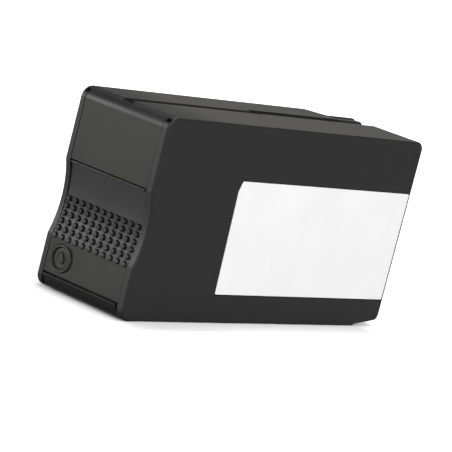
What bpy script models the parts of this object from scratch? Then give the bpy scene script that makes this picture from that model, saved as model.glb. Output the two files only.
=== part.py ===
"""Inkjet ink cartridge: two half shells, a grip panel, a sprung outlet valve and a sealed ink bag.

X runs across the cartridge, Y from the grip end to the outlet end and Z up.
The origin is at the bottom centre of the housing, and every length is in metres.
"""

import math

import bmesh
import bpy
import numpy as np

MM = 0.001

# Housing
WIDTH = 34.0 * MM
LENGTH = 112.4 * MM
HEIGHT = 57.0 * MM
WALL = 1.8 * MM
FIT_GAP = 0.3 * MM
FRONT_RADIUS = 3.5 * MM
REAR_TOP_RADIUS = 2.6 * MM
HEEL_RADIUS = 2.0 * MM
SIDE_EDGE_RADIUS = 0.6 * MM
INNER_RADIUS = 0.2 * MM
HEEL_LENGTH = 11.3 * MM
HEEL_STEP = 0.5 * MM
HEEL_LIFT = 1.7 * MM
FRONT = -LENGTH / 2
REAR = LENGTH / 2

# Finger scoop in the front end
SCOOP_TOP = 36.1 * MM
SCOOP_BOTTOM = 14.8 * MM
SCOOP_DEPTH = 1.95 * MM

# Joint between the two half shells
SEAM_X = -3.4 * MM
LIP_LENGTH = 2.0 * MM
LIP_WALL = 0.8 * MM
LIP_ROOT = 4.0 * MM
SEAM_GROOVE_WIDTH = 1.6 * MM
SEAM_GROOVE_DEPTH = 0.7 * MM
RIM_RELIEF_START = 1.0 * MM
RIM_RELIEF_LENGTH = 1.4 * MM
RIM_RELIEF_DEPTH = 2.6 * MM
SEAM_RELIEF_LENGTH = 1.2 * MM
SEAM_RELIEF_DEPTH = 1.2 * MM
SEAM_RELIEF_WIDTH = 2.4 * MM

# Guide slot in the rear half of the top
SLOT_LENGTH = 56.9 * MM
SLOT_NEAR_X = -1.1 * MM
SLOT_WIDTH = 4.3 * MM
SLOT_REAR_WIDTH = 6.0 * MM
SLOT_DEPTH = 1.1 * MM
STEP_DEPTH = 0.45 * MM

# Chip notch in the rear top corner of the far side
NOTCH_WIDTH = 6.9 * MM
NOTCH_LENGTH = 14.4 * MM
NOTCH_RAMP = 3.2 * MM
NOTCH_HEIGHT = 15.0 * MM
NOTCH_WALL = 2.5 * MM
RIB_WIDTH = 0.6 * MM

# Grip panel set between the two front rims
NEAR_RIM = 2.3 * MM
FAR_RIM = 2.0 * MM
PANEL_SEAT = 1.85 * MM
PANEL_THICKNESS = PANEL_SEAT - FIT_GAP
UPPER_GROOVE_RISE = 0.5 * MM
UPPER_GROOVE_HEIGHT = 0.5 * MM
UPPER_GROOVE_DEPTH = 0.9 * MM
BEAD_RADIUS = 0.3 * MM
BEAD_SINK = 0.3 * MM
GRIP_SINK = 0.6 * MM
GRIP_LEVEL_RISE = 4.2 * MM
LOWER_GROOVE_Z = 4.5 * MM
LOWER_GROOVE_HEIGHT = 0.5 * MM
LOWER_GROOVE_DEPTH = 0.6 * MM
LOWER_LIP_HEIGHT = 0.3 * MM
CHAMFER_END_Z = 0.75 * MM
PIN_RADIUS = 1.1 * MM
PIN_SIDE_MARGIN = 5.8 * MM
PIN_END_MARGIN = 9.5 * MM
PIN_LENGTH = 1.7 * MM

# Grip pegs and the raised mark below them
PEG_ROWS = 6
PEG_PITCH_X = 2.72 * MM
PEG_PITCH_Z = 2.1 * MM
PEG_LOWEST_RISE = 0.2 * MM
PEG_RADIUS = 0.83 * MM
PEG_TIP_RADIUS = 0.66 * MM
PEG_HEIGHT = 0.6 * MM
PEG_ROOT = 0.5 * MM
RING_SIDE_MARGIN = 5.75 * MM
RING_Z = 9.4 * MM
RING_RADIUS = 3.85 * MM
RING_WIDTH = 0.6 * MM
RING_HEIGHT = 0.5 * MM
DROP_RADIUS = 1.1 * MM
DROP_TIP_RISE = 0.9 * MM
DROP_SINK = 0.35 * MM
DROP_TIP_SHARE = 0.5
DROP_HEIGHT = 0.35 * MM

# Side label
LABEL_LENGTH = 76.6 * MM
LABEL_REAR_MARGIN = 0.9 * MM
LABEL_BOTTOM = 8.4 * MM
LABEL_HEIGHT = 32.7 * MM
LABEL_CORNER_HEIGHT = 3.0 * MM
LABEL_CORNER_SLANT = 1.0 * MM
LABEL_THICKNESS = 0.2 * MM

# Outlet chassis in the rear wall
WINDOW_HALF_WIDTH = 6.0 * MM
WINDOW_BOTTOM = 6.0 * MM
WINDOW_HEIGHT = 30.0 * MM
FLANGE_BORDER = 1.2 * MM
FLANGE_THICKNESS = 1.5 * MM
GASKET_THICKNESS = 0.6 * MM
RECESS_DEPTH = 0.1 * MM
CHASSIS_SINK = 0.3 * MM

# Ink outlet, turned about the Y axis at x = 0
OUTLET_Z = 14.0 * MM
OUTLET_BOSS_RADIUS = 6.5 * MM
OUTLET_SEAT_RADIUS = 4.6 * MM
OUTLET_SEAT_DEPTH = 5.9 * MM
VALVE_BORE_RADIUS = 2.35 * MM
VALVE_BORE_LENGTH = 9.0 * MM
INLET_RADIUS = 1.2 * MM
INLET_LENGTH = 1.0 * MM
SOCKET_RADIUS = 3.8 * MM
SOCKET_LENGTH = 4.0 * MM
SEPTUM_THICKNESS = 3.0 * MM
SEPTUM_HOLE_RADIUS = 1.1 * MM
RETAINER_THICKNESS = 2.0 * MM
RETAINER_MOUTH_RADIUS = 1.8 * MM
BALL_RADIUS = 2.0 * MM
SPRING_RADIUS = 1.5 * MM
SPRING_WIRE = 0.4 * MM
SPRING_TURNS = 5
FILTER_THICKNESS = 0.4 * MM

# Air inlet above the outlet
AIR_Z = 29.0 * MM
AIR_BOSS_RADIUS = 4.5 * MM
AIR_BOSS_LENGTH = 6.5 * MM
AIR_SEAT_RADIUS = 3.1 * MM
AIR_SEAT_DEPTH = 4.0 * MM
AIR_BORE_RADIUS = 1.2 * MM
AIR_SEPTUM_THICKNESS = 2.0 * MM
AIR_SEPTUM_DIMPLE_RADIUS = 0.9 * MM
AIR_RETAINER_THICKNESS = 1.1 * MM
AIR_RETAINER_MOUTH_RADIUS = 1.5 * MM
MEMBRANE_SEAT_DEPTH = 1.0 * MM
MEMBRANE_THICKNESS = 0.4 * MM

# Ink bag, its spout and its stiffeners
BAG_FRONT_SLACK = 1.5 * MM
BAG_TOP_SLACK = 0.8 * MM
BAG_SIDE_SLACK = 2.5 * MM
BAG_SEAM = 0.4 * MM
BAG_SEAM_WIDTH = 4.0 * MM
SPOUT_BASE_LENGTH = 4.3 * MM
SPOUT_BASE_HALF_HEIGHT = 9.0 * MM
SPOUT_BASE_HALF_WIDTH = 3.7 * MM
SPOUT_BASE_TAPER = 1.5
SPOUT_FLANGE_RADIUS = 6.0 * MM
SPOUT_FLANGE_THICKNESS = 1.2 * MM
SPOUT_BORE_RADIUS = 1.5 * MM
STIFFENER_THICKNESS = 0.4 * MM
STIFFENER_SHARE = 0.5

# Memory chip on the notch wall
CHIP_LENGTH = 11.0 * MM
CHIP_HEIGHT = 8.5 * MM
CHIP_THICKNESS = 0.6 * MM
CHIP_PROUD = 0.1 * MM
PAD_COLUMNS = 3
PAD_ROWS = 2
PAD_LENGTH = 2.4 * MM
PAD_HEIGHT = 2.8 * MM
PAD_PITCH_Y = 3.2 * MM
PAD_PITCH_Z = 3.7 * MM
PAD_THICKNESS = 0.15 * MM
CHIP_COVER_SIDE = 4.0 * MM
CHIP_COVER_THICKNESS = 0.8 * MM

# Facets
CORNER_STEPS = 7
SCOOP_STEPS = 14
TURN_STEPS = 32
PEG_SIDES = 10
PIN_SIDES = 20
BALL_STEPS = 20
SPRING_STEPS = 14
WIRE_SIDES = 6
SIDE_EDGE_STEPS = 3
BAG_COLUMNS = 18
BAG_ROWS = 12

# Places worked out from the sizes above
PANEL_LOW_X = -WIDTH / 2 + FAR_RIM
PANEL_HIGH_X = WIDTH / 2 - NEAR_RIM
INNER_WALL_Y = REAR - WALL + RECESS_DEPTH
CHASSIS_FACE_Y = REAR - CHASSIS_SINK
FLANGE_FACE_Y = INNER_WALL_Y - 2 * FIT_GAP - GASKET_THICKNESS
SLOT_START = REAR - SLOT_LENGTH
PEG_COLUMNS = 1 + int((PANEL_HIGH_X - PANEL_LOW_X - 2 * FIT_GAP - 2 * PEG_RADIUS) / PEG_PITCH_X)
UPPER_GROOVE_Z = SCOOP_TOP + UPPER_GROOVE_RISE
GRIP_LEVEL_Z = SCOOP_BOTTOM + GRIP_LEVEL_RISE
RING_X = PANEL_LOW_X + RING_SIDE_MARGIN
PIN_PLACES = {
    "near_low": (PANEL_HIGH_X - PIN_SIDE_MARGIN, PIN_END_MARGIN),
    "near_high": (PANEL_HIGH_X - PIN_SIDE_MARGIN, HEIGHT - PIN_END_MARGIN),
    "far_low": (PANEL_LOW_X + PIN_SIDE_MARGIN, PIN_END_MARGIN),
    "far_high": (PANEL_LOW_X + PIN_SIDE_MARGIN, HEIGHT - PIN_END_MARGIN),
}
OUTLET_SEAT_Y = CHASSIS_FACE_Y - OUTLET_SEAT_DEPTH
VALVE_BORE_END = OUTLET_SEAT_Y - VALVE_BORE_LENGTH
SOCKET_END = VALVE_BORE_END - INLET_LENGTH
OUTLET_BOSS_END = SOCKET_END - SOCKET_LENGTH
SEPTUM_BACK = OUTLET_SEAT_Y + FIT_GAP
BALL_Y = SEPTUM_BACK - math.sqrt(BALL_RADIUS**2 - SEPTUM_HOLE_RADIUS**2) - FIT_GAP
AIR_SEAT_Y = CHASSIS_FACE_Y - AIR_SEAT_DEPTH
AIR_BOSS_END = FLANGE_FACE_Y - FLANGE_THICKNESS - AIR_BOSS_LENGTH
SPOUT_FLANGE_REAR = OUTLET_BOSS_END - FIT_GAP
SPOUT_BASE_REAR = SPOUT_FLANGE_REAR - SPOUT_FLANGE_THICKNESS
BAG_REAR = SPOUT_BASE_REAR - SPOUT_BASE_LENGTH - FIT_GAP
LIP_INSET = WALL + FIT_GAP
BAG_BOTTOM = LIP_INSET + LIP_WALL + FIT_GAP
BAG_TOP = HEIGHT - BAG_BOTTOM - BAG_TOP_SLACK
BAG_FRONT = FRONT + PANEL_SEAT + SCOOP_DEPTH + LIP_INSET + LIP_WALL + BAG_FRONT_SLACK
BAG_HALF_THICKNESS = WIDTH / 2 - WALL - STIFFENER_THICKNESS - FIT_GAP - BAG_SIDE_SLACK
NOTCH_X = -WIDTH / 2 + NOTCH_WIDTH
WINDOW_TOP = WINDOW_BOTTOM + WINDOW_HEIGHT
NOTCH_Y = REAR - NOTCH_LENGTH
NOTCH_FLOOR = HEIGHT - NOTCH_HEIGHT
CHIP_CENTRE_Y = NOTCH_Y + NOTCH_LENGTH / 2
CHIP_CENTRE_Z = NOTCH_FLOOR + NOTCH_HEIGHT / 2
CHIP_BACK_X = NOTCH_X - CHIP_PROUD + CHIP_THICKNESS

# Finishes: colour, roughness, metallic
BLACK_SATIN = ("black_satin", (0.045, 0.045, 0.043), 0.42, 0.0)
BLACK_GRIP = ("black_grip", (0.055, 0.055, 0.052), 0.5, 0.0)
DARK_GREY = ("dark_grey_plastic", (0.075, 0.075, 0.078), 0.5, 0.0)
WHITE_LABEL = ("white_label", (0.86, 0.86, 0.86), 0.45, 0.0)
NATURAL = ("natural_plastic", (0.78, 0.77, 0.72), 0.4, 0.0)
RUBBER = ("grey_rubber", (0.16, 0.16, 0.17), 0.75, 0.0)
STEEL = ("steel", (0.62, 0.62, 0.63), 0.25, 1.0)
FOIL = ("bag_film", (0.35, 0.36, 0.38), 0.3, 0.6)
CLEAR_SHEET = ("clear_sheet", (0.82, 0.84, 0.86), 0.2, 0.0)
MEMBRANE = ("membrane", (0.88, 0.88, 0.86), 0.8, 0.0)
BOARD = ("circuit_board", (0.02, 0.12, 0.06), 0.4, 0.0)
GOLD = ("gold_contacts", (0.83, 0.61, 0.24), 0.3, 1.0)
EPOXY = ("black_epoxy", (0.02, 0.02, 0.02), 0.3, 0.0)


def clear_scene():
    for thing in list(bpy.data.objects):
        bpy.data.objects.remove(thing, do_unlink=True)


def material(finish):
    name, colour, roughness, metallic = finish
    if name in bpy.data.materials:
        return bpy.data.materials[name]
    made = bpy.data.materials.new(name)
    made.use_nodes = True
    shader = made.node_tree.nodes["Principled BSDF"]
    shader.inputs["Base Color"].default_value = (*colour, 1.0)
    shader.inputs["Roughness"].default_value = roughness
    shader.inputs["Metallic"].default_value = metallic
    return made


def add_object(name, shape, finish=None, smooth=False):
    """Turn a bmesh into a named object, merge its doubled points and face it outwards."""
    bmesh.ops.remove_doubles(shape, verts=shape.verts, dist=0.0001 * MM)
    bmesh.ops.recalc_face_normals(shape, faces=shape.faces)
    mesh = bpy.data.meshes.new(name)
    shape.to_mesh(mesh)
    shape.free()
    if smooth:
        mesh.shade_smooth()
        mesh.set_sharp_from_angle(angle=math.radians(35))
    made = bpy.data.objects.new(name, mesh)
    bpy.context.scene.collection.objects.link(made)
    if finish:
        mesh.materials.append(material(finish))
    return made


def loft(name, rings, finish=None, smooth=False):
    """Solid through a row of rings that have the same number of points, closed at both ends."""
    shape = bmesh.new()
    rows = [[shape.verts.new(point) for point in ring] for ring in rings]
    for row, following in zip(rows, rows[1:]):
        for k in range(len(row)):
            n = (k + 1) % len(row)
            shape.faces.new((row[k], following[k], following[n], row[n]))
    shape.faces.new(rows[0])
    shape.faces.new(list(reversed(rows[-1])))
    return add_object(name, shape, finish, smooth)


def prism_along_x(name, outline_yz, low_x, high_x, finish=None):
    return loft(name, [[(x, y, z) for y, z in outline_yz] for x in (high_x, low_x)], finish)


def prism_along_z(name, outline_xy, low_z, high_z, finish=None):
    return loft(name, [[(x, y, z) for x, y in outline_xy] for z in (high_z, low_z)], finish)


def box(name, low, high, finish=None):
    corners = [(low[0], low[1]), (high[0], low[1]), (high[0], high[1]), (low[0], high[1])]
    return prism_along_z(name, corners, low[2], high[2], finish)


def turned(name, profile, centre_x, centre_z, finish=None, steps=TURN_STEPS):
    """Turn a profile of (radius, y) points about an axis along Y. Both ends lie on the axis or meet."""
    shape = bmesh.new()
    angles = np.linspace(0.0, 2 * math.pi, steps, endpoint=False)
    rows = []
    for angle in angles:
        across, up = math.cos(angle), math.sin(angle)
        rows.append([shape.verts.new((centre_x + r * across, y, centre_z + r * up)) for r, y in profile])
    for k, row in enumerate(rows):
        following = rows[(k + 1) % steps]
        for a in range(len(profile) - 1):
            shape.faces.new((row[a], following[a], following[a + 1], row[a + 1]))
    return add_object(name, shape, finish, smooth=True)


def rod_profile(radius, low_y, high_y):
    return [(0.0, low_y), (radius, low_y), (radius, high_y), (0.0, high_y)]


def ring_profile(inner, outer, low_y, high_y):
    return [(inner, low_y), (outer, low_y), (outer, high_y), (inner, high_y), (inner, low_y)]


def combine(target, tool, operation):
    """Leave a live Boolean on the target. The tool stays in the file as a wire guide."""
    change = target.modifiers.new(f"{operation.lower()} {tool.name}", "BOOLEAN")
    change.operation = operation
    change.solver = "EXACT"
    change.object = tool
    tool.hide_render = True
    tool.display_type = "WIRE"


def cut(target, *tools):
    for tool in tools:
        combine(target, tool, "DIFFERENCE")


def join(target, *tools):
    for tool in tools:
        combine(target, tool, "UNION")


def arc(centre_y, centre_z, radius, start, end, steps=CORNER_STEPS):
    angles = np.radians(np.linspace(start, end, steps + 1))
    return [(centre_y + radius * math.cos(a), centre_z + radius * math.sin(a)) for a in angles]


def scoop(z):
    """Depth of the finger scoop at height z: a circular arc between its two kinks."""
    half = (SCOOP_TOP - SCOOP_BOTTOM) / 2
    radius = (half**2 + SCOOP_DEPTH**2) / (2 * SCOOP_DEPTH)
    offset = abs(z - (SCOOP_TOP + SCOOP_BOTTOM) / 2)
    if offset >= half:
        return 0.0
    return math.sqrt(radius**2 - offset**2) - (radius - SCOOP_DEPTH)


def outline(inset):
    """Side profile of the housing as (y, z), moved inwards by inset.

    Inside the wall the front moves back by the depth of the panel seat as well.
    """
    low, top = inset, HEIGHT - inset
    front = FRONT + inset + (PANEL_SEAT if inset >= WALL else 0.0)
    rear = REAR - inset
    front_radius = max(FRONT_RADIUS - inset, INNER_RADIUS)
    top_radius = max(REAR_TOP_RADIUS - inset, INNER_RADIUS)
    heel_radius = max(HEEL_RADIUS - inset, INNER_RADIUS)
    heel_y = REAR - HEEL_LENGTH
    slope = math.degrees(math.atan2(HEEL_LIFT - HEEL_STEP, HEEL_LENGTH - HEEL_RADIUS))
    points = arc(front + front_radius, low + front_radius, front_radius, 180, 270)
    points += [(heel_y, low), (heel_y + HEEL_STEP, low + HEEL_STEP)]
    points += arc(rear - heel_radius, low + HEEL_LIFT + heel_radius, heel_radius, 270 + slope, 360)
    points += arc(rear - top_radius, top - top_radius, top_radius, 0, 90)
    points += arc(front + front_radius, top - front_radius, front_radius, 90, 180)
    points += [(front + scoop(z), z) for z in np.linspace(SCOOP_TOP, SCOOP_BOTTOM, SCOOP_STEPS + 1)]
    return points


def rounded_side(side):
    """Stations (x, inset) over the rounded edge between a side face and the rim round it."""
    stations = []
    for turn in np.linspace(0.0, math.pi / 2, SIDE_EDGE_STEPS + 1):
        drop = SIDE_EDGE_RADIUS * (1 - math.sin(turn))
        reach = SIDE_EDGE_RADIUS * (1 - math.cos(turn))
        stations.append((side * (WIDTH / 2 - reach), drop))
    return stations


def tray(name, stations, finish):
    """Open half shell: the housing outline carried through (x, inset) stations, outside to inside."""
    return loft(name, [[(x, y, z) for y, z in outline(inset)] for x, inset in stations], finish)


def grown(points, distance):
    """Move each side of a polygon that runs anticlockwise outwards by distance."""
    loop = np.array(points)
    ahead = np.roll(loop, -1, axis=0) - loop
    ahead /= np.linalg.norm(ahead, axis=1)[:, None]
    normal = np.stack([ahead[:, 1], -ahead[:, 0]], axis=1)
    before = np.roll(normal, 1, axis=0)
    share = 1 + (normal * before).sum(axis=1)
    return [tuple(p) for p in loop + distance * (normal + before) / share[:, None]]


def label_outline():
    """The label's edge as (y, z): a plain rectangle with its upper front corner cut off."""
    rear = REAR - LABEL_REAR_MARGIN
    front = rear - LABEL_LENGTH
    top = LABEL_BOTTOM + LABEL_HEIGHT
    return [
        (front + LABEL_CORNER_SLANT, LABEL_BOTTOM),
        (rear, LABEL_BOTTOM),
        (rear, top),
        (front + LABEL_CORNER_SLANT, top),
        (front, top - LABEL_CORNER_HEIGHT),
    ]


def panel_seat_outline():
    """Pocket for the grip panel: everything in front of its seat, as (y, z)."""
    margin = WALL
    seat = FRONT + PANEL_SEAT
    back = [(seat + scoop(z), z) for z in np.linspace(SCOOP_BOTTOM, SCOOP_TOP, SCOOP_STEPS + 1)]
    low, top = -margin, HEIGHT + margin
    return [(FRONT - margin, low), (seat, low), *back, (seat, top), (FRONT - margin, top)]


def grip_depth(z):
    """The gripped face lies behind the rims at the top of the scoop and level with them lower down."""
    fade = (z - GRIP_LEVEL_Z) / (UPPER_GROOVE_Z - GRIP_LEVEL_Z)
    return scoop(z) + GRIP_SINK * min(max(fade, 0.0), 1.0)


def panel_outline():
    """Section of the grip panel as (y, z): the face from top to bottom, then the flat back."""
    back = FRONT + PANEL_THICKNESS
    start = math.degrees(math.acos((PANEL_THICKNESS - FRONT_RADIUS) / FRONT_RADIUS))
    face = arc(FRONT + FRONT_RADIUS, HEIGHT - FRONT_RADIUS, FRONT_RADIUS, start, 180)
    groove = FRONT + UPPER_GROOVE_DEPTH
    bead_top = UPPER_GROOVE_Z - UPPER_GROOVE_HEIGHT
    bead_low = bead_top - 2 * BEAD_RADIUS
    face += [(FRONT, UPPER_GROOVE_Z), (groove, UPPER_GROOVE_Z), (groove, bead_top)]
    face += arc(FRONT + BEAD_SINK + BEAD_RADIUS, bead_top - BEAD_RADIUS, BEAD_RADIUS, 90, 270)
    heights = np.linspace(bead_low, SCOOP_BOTTOM, SCOOP_STEPS + 1)
    face += [(FRONT + grip_depth(z), z) for z in heights]
    lip_top = LOWER_GROOVE_Z - LOWER_GROOVE_HEIGHT
    face += [(FRONT, LOWER_GROOVE_Z), (FRONT + LOWER_GROOVE_DEPTH, LOWER_GROOVE_Z)]
    face += [(FRONT + LOWER_GROOVE_DEPTH, lip_top), (FRONT, lip_top), (FRONT, lip_top - LOWER_LIP_HEIGHT)]
    face += [(back, CHAMFER_END_Z)]
    heights = np.linspace(SCOOP_BOTTOM, SCOOP_TOP, SCOOP_STEPS + 1)
    return face + [(back + scoop(z), z) for z in heights]


def make_near_shell():
    """Shell with the label side, the wider part of the top and the lip that enters the other shell."""
    stations = rounded_side(1)
    stations += [
        (SEAM_X + FIT_GAP / 2, 0.0),
        (SEAM_X + FIT_GAP / 2, LIP_INSET),
        (SEAM_X - LIP_LENGTH, LIP_INSET),
        (SEAM_X - LIP_LENGTH, LIP_INSET + LIP_WALL),
        (SEAM_X + LIP_ROOT - LIP_WALL, LIP_INSET + LIP_WALL),
        (SEAM_X + LIP_ROOT, WALL),
        (WIDTH / 2 - WALL, WALL),
    ]
    return tray("near_shell", stations, BLACK_SATIN)


def make_far_shell():
    """Shell with the plain side. Its rear top corner is walled in for the chip notch."""
    stations = rounded_side(-1)
    stations += [
        (SEAM_X - FIT_GAP / 2, 0.0),
        (SEAM_X - FIT_GAP / 2, WALL),
        (-WIDTH / 2 + WALL, WALL),
    ]
    shell = tray("far_shell", stations, BLACK_SATIN)
    skin = WALL / 2
    low = (-WIDTH / 2 + skin, NOTCH_Y - NOTCH_RAMP - NOTCH_WALL, NOTCH_FLOOR - WALL)
    high = (NOTCH_X + NOTCH_WALL, REAR - skin, HEIGHT - skin)
    join(shell, box("notch_walls", low, high))
    return shell


def cut_notch(far_shell):
    """Cut the notch with its slanted front end, then the seats of the chip and its cover."""
    over = WALL
    corner = [
        (-WIDTH / 2 - over, NOTCH_Y - NOTCH_RAMP - over * NOTCH_RAMP / NOTCH_WIDTH),
        (NOTCH_X, NOTCH_Y),
        (NOTCH_X, REAR + over),
        (-WIDTH / 2 - over, REAR + over),
    ]
    cut(far_shell, prism_along_z("notch_cutter", corner, NOTCH_FLOOR, HEIGHT + over))
    board = (CHIP_LENGTH / 2 + FIT_GAP, CHIP_HEIGHT / 2 + FIT_GAP)
    cover = (CHIP_COVER_SIDE / 2 + FIT_GAP, CHIP_COVER_SIDE / 2 + FIT_GAP)
    seats = {
        "chip_seat_cutter": (board, CHIP_BACK_X + FIT_GAP),
        "cover_seat_cutter": (cover, CHIP_BACK_X + 2 * FIT_GAP + CHIP_COVER_THICKNESS),
    }
    for name, ((half_y, half_z), floor_x) in seats.items():
        low = (NOTCH_X - over, CHIP_CENTRE_Y - half_y, CHIP_CENTRE_Z - half_z)
        high = (floor_x, CHIP_CENTRE_Y + half_y, CHIP_CENTRE_Z + half_z)
        cut(far_shell, box(name, low, high))


def cut_top(near_shell, far_shell):
    """Seam groove in the front half of the top, guide slot in the rear half."""
    over = WALL
    top = HEIGHT + over
    half = SEAM_GROOVE_WIDTH / 2
    groove_low = (SEAM_X - half, FRONT + PANEL_SEAT - over, HEIGHT - SEAM_GROOVE_DEPTH)
    groove = box("seam_groove_cutter", groove_low, (SEAM_X + half, SLOT_START + over, top))
    floor = HEIGHT - SLOT_DEPTH
    slot_far_x = SLOT_NEAR_X - SLOT_WIDTH
    rear_far_x = SLOT_NEAR_X - SLOT_REAR_WIDTH
    slot = box("slot_cutter", (slot_far_x, SLOT_START, floor), (SLOT_NEAR_X, REAR + over, top))
    wide_low = (rear_far_x, NOTCH_Y, floor)
    wide_slot = box("wide_slot_cutter", wide_low, (slot_far_x + over, REAR + over, top))
    step_low = (NOTCH_X + RIB_WIDTH, NOTCH_Y, HEIGHT - STEP_DEPTH)
    step = box("step_cutter", step_low, (rear_far_x + over, REAR + over, top))
    cut(near_shell, groove, slot)
    cut(far_shell, groove, slot, wide_slot, step)


def cut_corner_reliefs(near_shell, far_shell):
    """A deep notch in the top of each front rim, and a shallow one where the seam meets the panel."""
    over = WALL
    rim = (FRONT + RIM_RELIEF_START, RIM_RELIEF_LENGTH, RIM_RELIEF_DEPTH)
    seam = (FRONT + PANEL_SEAT - FIT_GAP, SEAM_RELIEF_LENGTH, SEAM_RELIEF_DEPTH)
    reliefs = {
        "near_rim_relief": (near_shell, PANEL_HIGH_X - FIT_GAP, WIDTH / 2 - SIDE_EDGE_RADIUS, rim),
        "far_rim_relief": (far_shell, -WIDTH / 2 + SIDE_EDGE_RADIUS, PANEL_LOW_X + FIT_GAP, rim),
        "near_seam_relief": (near_shell, SEAM_X - FIT_GAP, SEAM_X + SEAM_RELIEF_WIDTH, seam),
    }
    for name, (shell, low_x, high_x, (start, length, depth)) in reliefs.items():
        high = (high_x, start + length, HEIGHT + over)
        cut(shell, box(name, (low_x, start, HEIGHT - depth), high))


def cut_rear_window(near_shell, far_shell):
    """Window in the rear wall for the outlet chassis, and a shallow seat for its gasket."""
    over = WALL
    window_low = (-WINDOW_HALF_WIDTH, REAR - WALL - over, WINDOW_BOTTOM)
    window_high = (WINDOW_HALF_WIDTH, REAR + over, WINDOW_TOP)
    border = FLANGE_BORDER + FIT_GAP
    seat_low = (-WINDOW_HALF_WIDTH - border, INNER_WALL_Y - over, WINDOW_BOTTOM - border)
    seat_high = (WINDOW_HALF_WIDTH + border, INNER_WALL_Y, WINDOW_TOP + border)
    window = box("window_cutter", window_low, window_high)
    seat = box("flange_seat_cutter", seat_low, seat_high)
    for shell in (near_shell, far_shell):
        cut(shell, window, seat)


def cut_panel_seat(near_shell, far_shell):
    """Pocket between the front rims and the holes for the panel's locating pins."""
    pocket = prism_along_x("panel_seat_cutter", panel_seat_outline(), PANEL_LOW_X, PANEL_HIGH_X)
    cut(near_shell, pocket)
    cut(far_shell, pocket)
    hole = rod_profile(PIN_RADIUS + FIT_GAP, FRONT, FRONT + PANEL_SEAT + 2 * WALL)
    for place, (x, z) in PIN_PLACES.items():
        shell = near_shell if place.startswith("near") else far_shell
        cut(shell, turned(f"pin_hole_{place}", hole, x, z, steps=PIN_SIDES))


def make_label(near_shell):
    """Side label, flush with the side face in a shallow recess of its own outline."""
    floor = WIDTH / 2 - LABEL_THICKNESS - FIT_GAP
    recess = grown(label_outline(), FIT_GAP)
    cut(near_shell, prism_along_x("label_recess_cutter", recess, floor, WIDTH / 2 + WALL))
    return prism_along_x("label", label_outline(), floor + FIT_GAP, WIDTH / 2, WHITE_LABEL)


def peg_field():
    """All grip pegs as one tool: tapered studs whose roots are sunk in the panel."""
    shape = bmesh.new()
    middle = (PANEL_LOW_X + PANEL_HIGH_X) / 2
    angles = np.linspace(0.0, 2 * math.pi, PEG_SIDES, endpoint=False)
    for row in range(PEG_ROWS):
        z = SCOOP_BOTTOM + PEG_LOWEST_RISE + row * PEG_PITCH_Z
        surface = FRONT + grip_depth(z)
        for column in range(PEG_COLUMNS):
            x = middle + (column - (PEG_COLUMNS - 1) / 2) * PEG_PITCH_X
            rings = []
            for radius, y in ((PEG_RADIUS, surface + PEG_ROOT), (PEG_TIP_RADIUS, surface - PEG_HEIGHT)):
                ring = [(x + radius * math.cos(a), y, z + radius * math.sin(a)) for a in angles]
                rings.append([shape.verts.new(point) for point in ring])
            root, tip = rings
            for k in range(PEG_SIDES):
                n = (k + 1) % PEG_SIDES
                shape.faces.new((root[k], root[n], tip[n], tip[k]))
            shape.faces.new(root)
            shape.faces.new(tip)
    return add_object("peg_tool", shape)


def drop_tool():
    """Plain raised drop: a circle drawn out to a point at the top."""
    points = []
    for angle in np.linspace(0.0, 2 * math.pi, PIN_SIDES, endpoint=False):
        lift = max(math.sin(angle), 0.0) ** 3
        x = RING_X + DROP_RADIUS * math.cos(angle) * (1 - DROP_TIP_SHARE * lift)
        points.append((x, RING_Z - DROP_SINK + DROP_RADIUS * math.sin(angle) + DROP_TIP_RISE * lift))
    ends = (FRONT - DROP_HEIGHT, FRONT + PEG_ROOT)
    return loft("drop_tool", [[(x, y, z) for x, z in points] for y in ends])


def make_grip_panel():
    """Front panel between the rims, with its pegs, raised ring and locating pins moulded on."""
    panel = prism_along_x(
        "grip_panel", panel_outline(), PANEL_LOW_X + FIT_GAP, PANEL_HIGH_X - FIT_GAP, BLACK_GRIP
    )
    profile = ring_profile(RING_RADIUS - RING_WIDTH, RING_RADIUS, FRONT - RING_HEIGHT, FRONT + PEG_ROOT)
    join(panel, peg_field(), turned("ring_tool", profile, RING_X, RING_Z), drop_tool())
    back = FRONT + PANEL_THICKNESS
    pin = rod_profile(PIN_RADIUS, back - PEG_ROOT, back + PIN_LENGTH)
    for place, (x, z) in PIN_PLACES.items():
        join(panel, turned(f"panel_pin_{place}", pin, x, z, steps=PIN_SIDES))
    return panel


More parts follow.
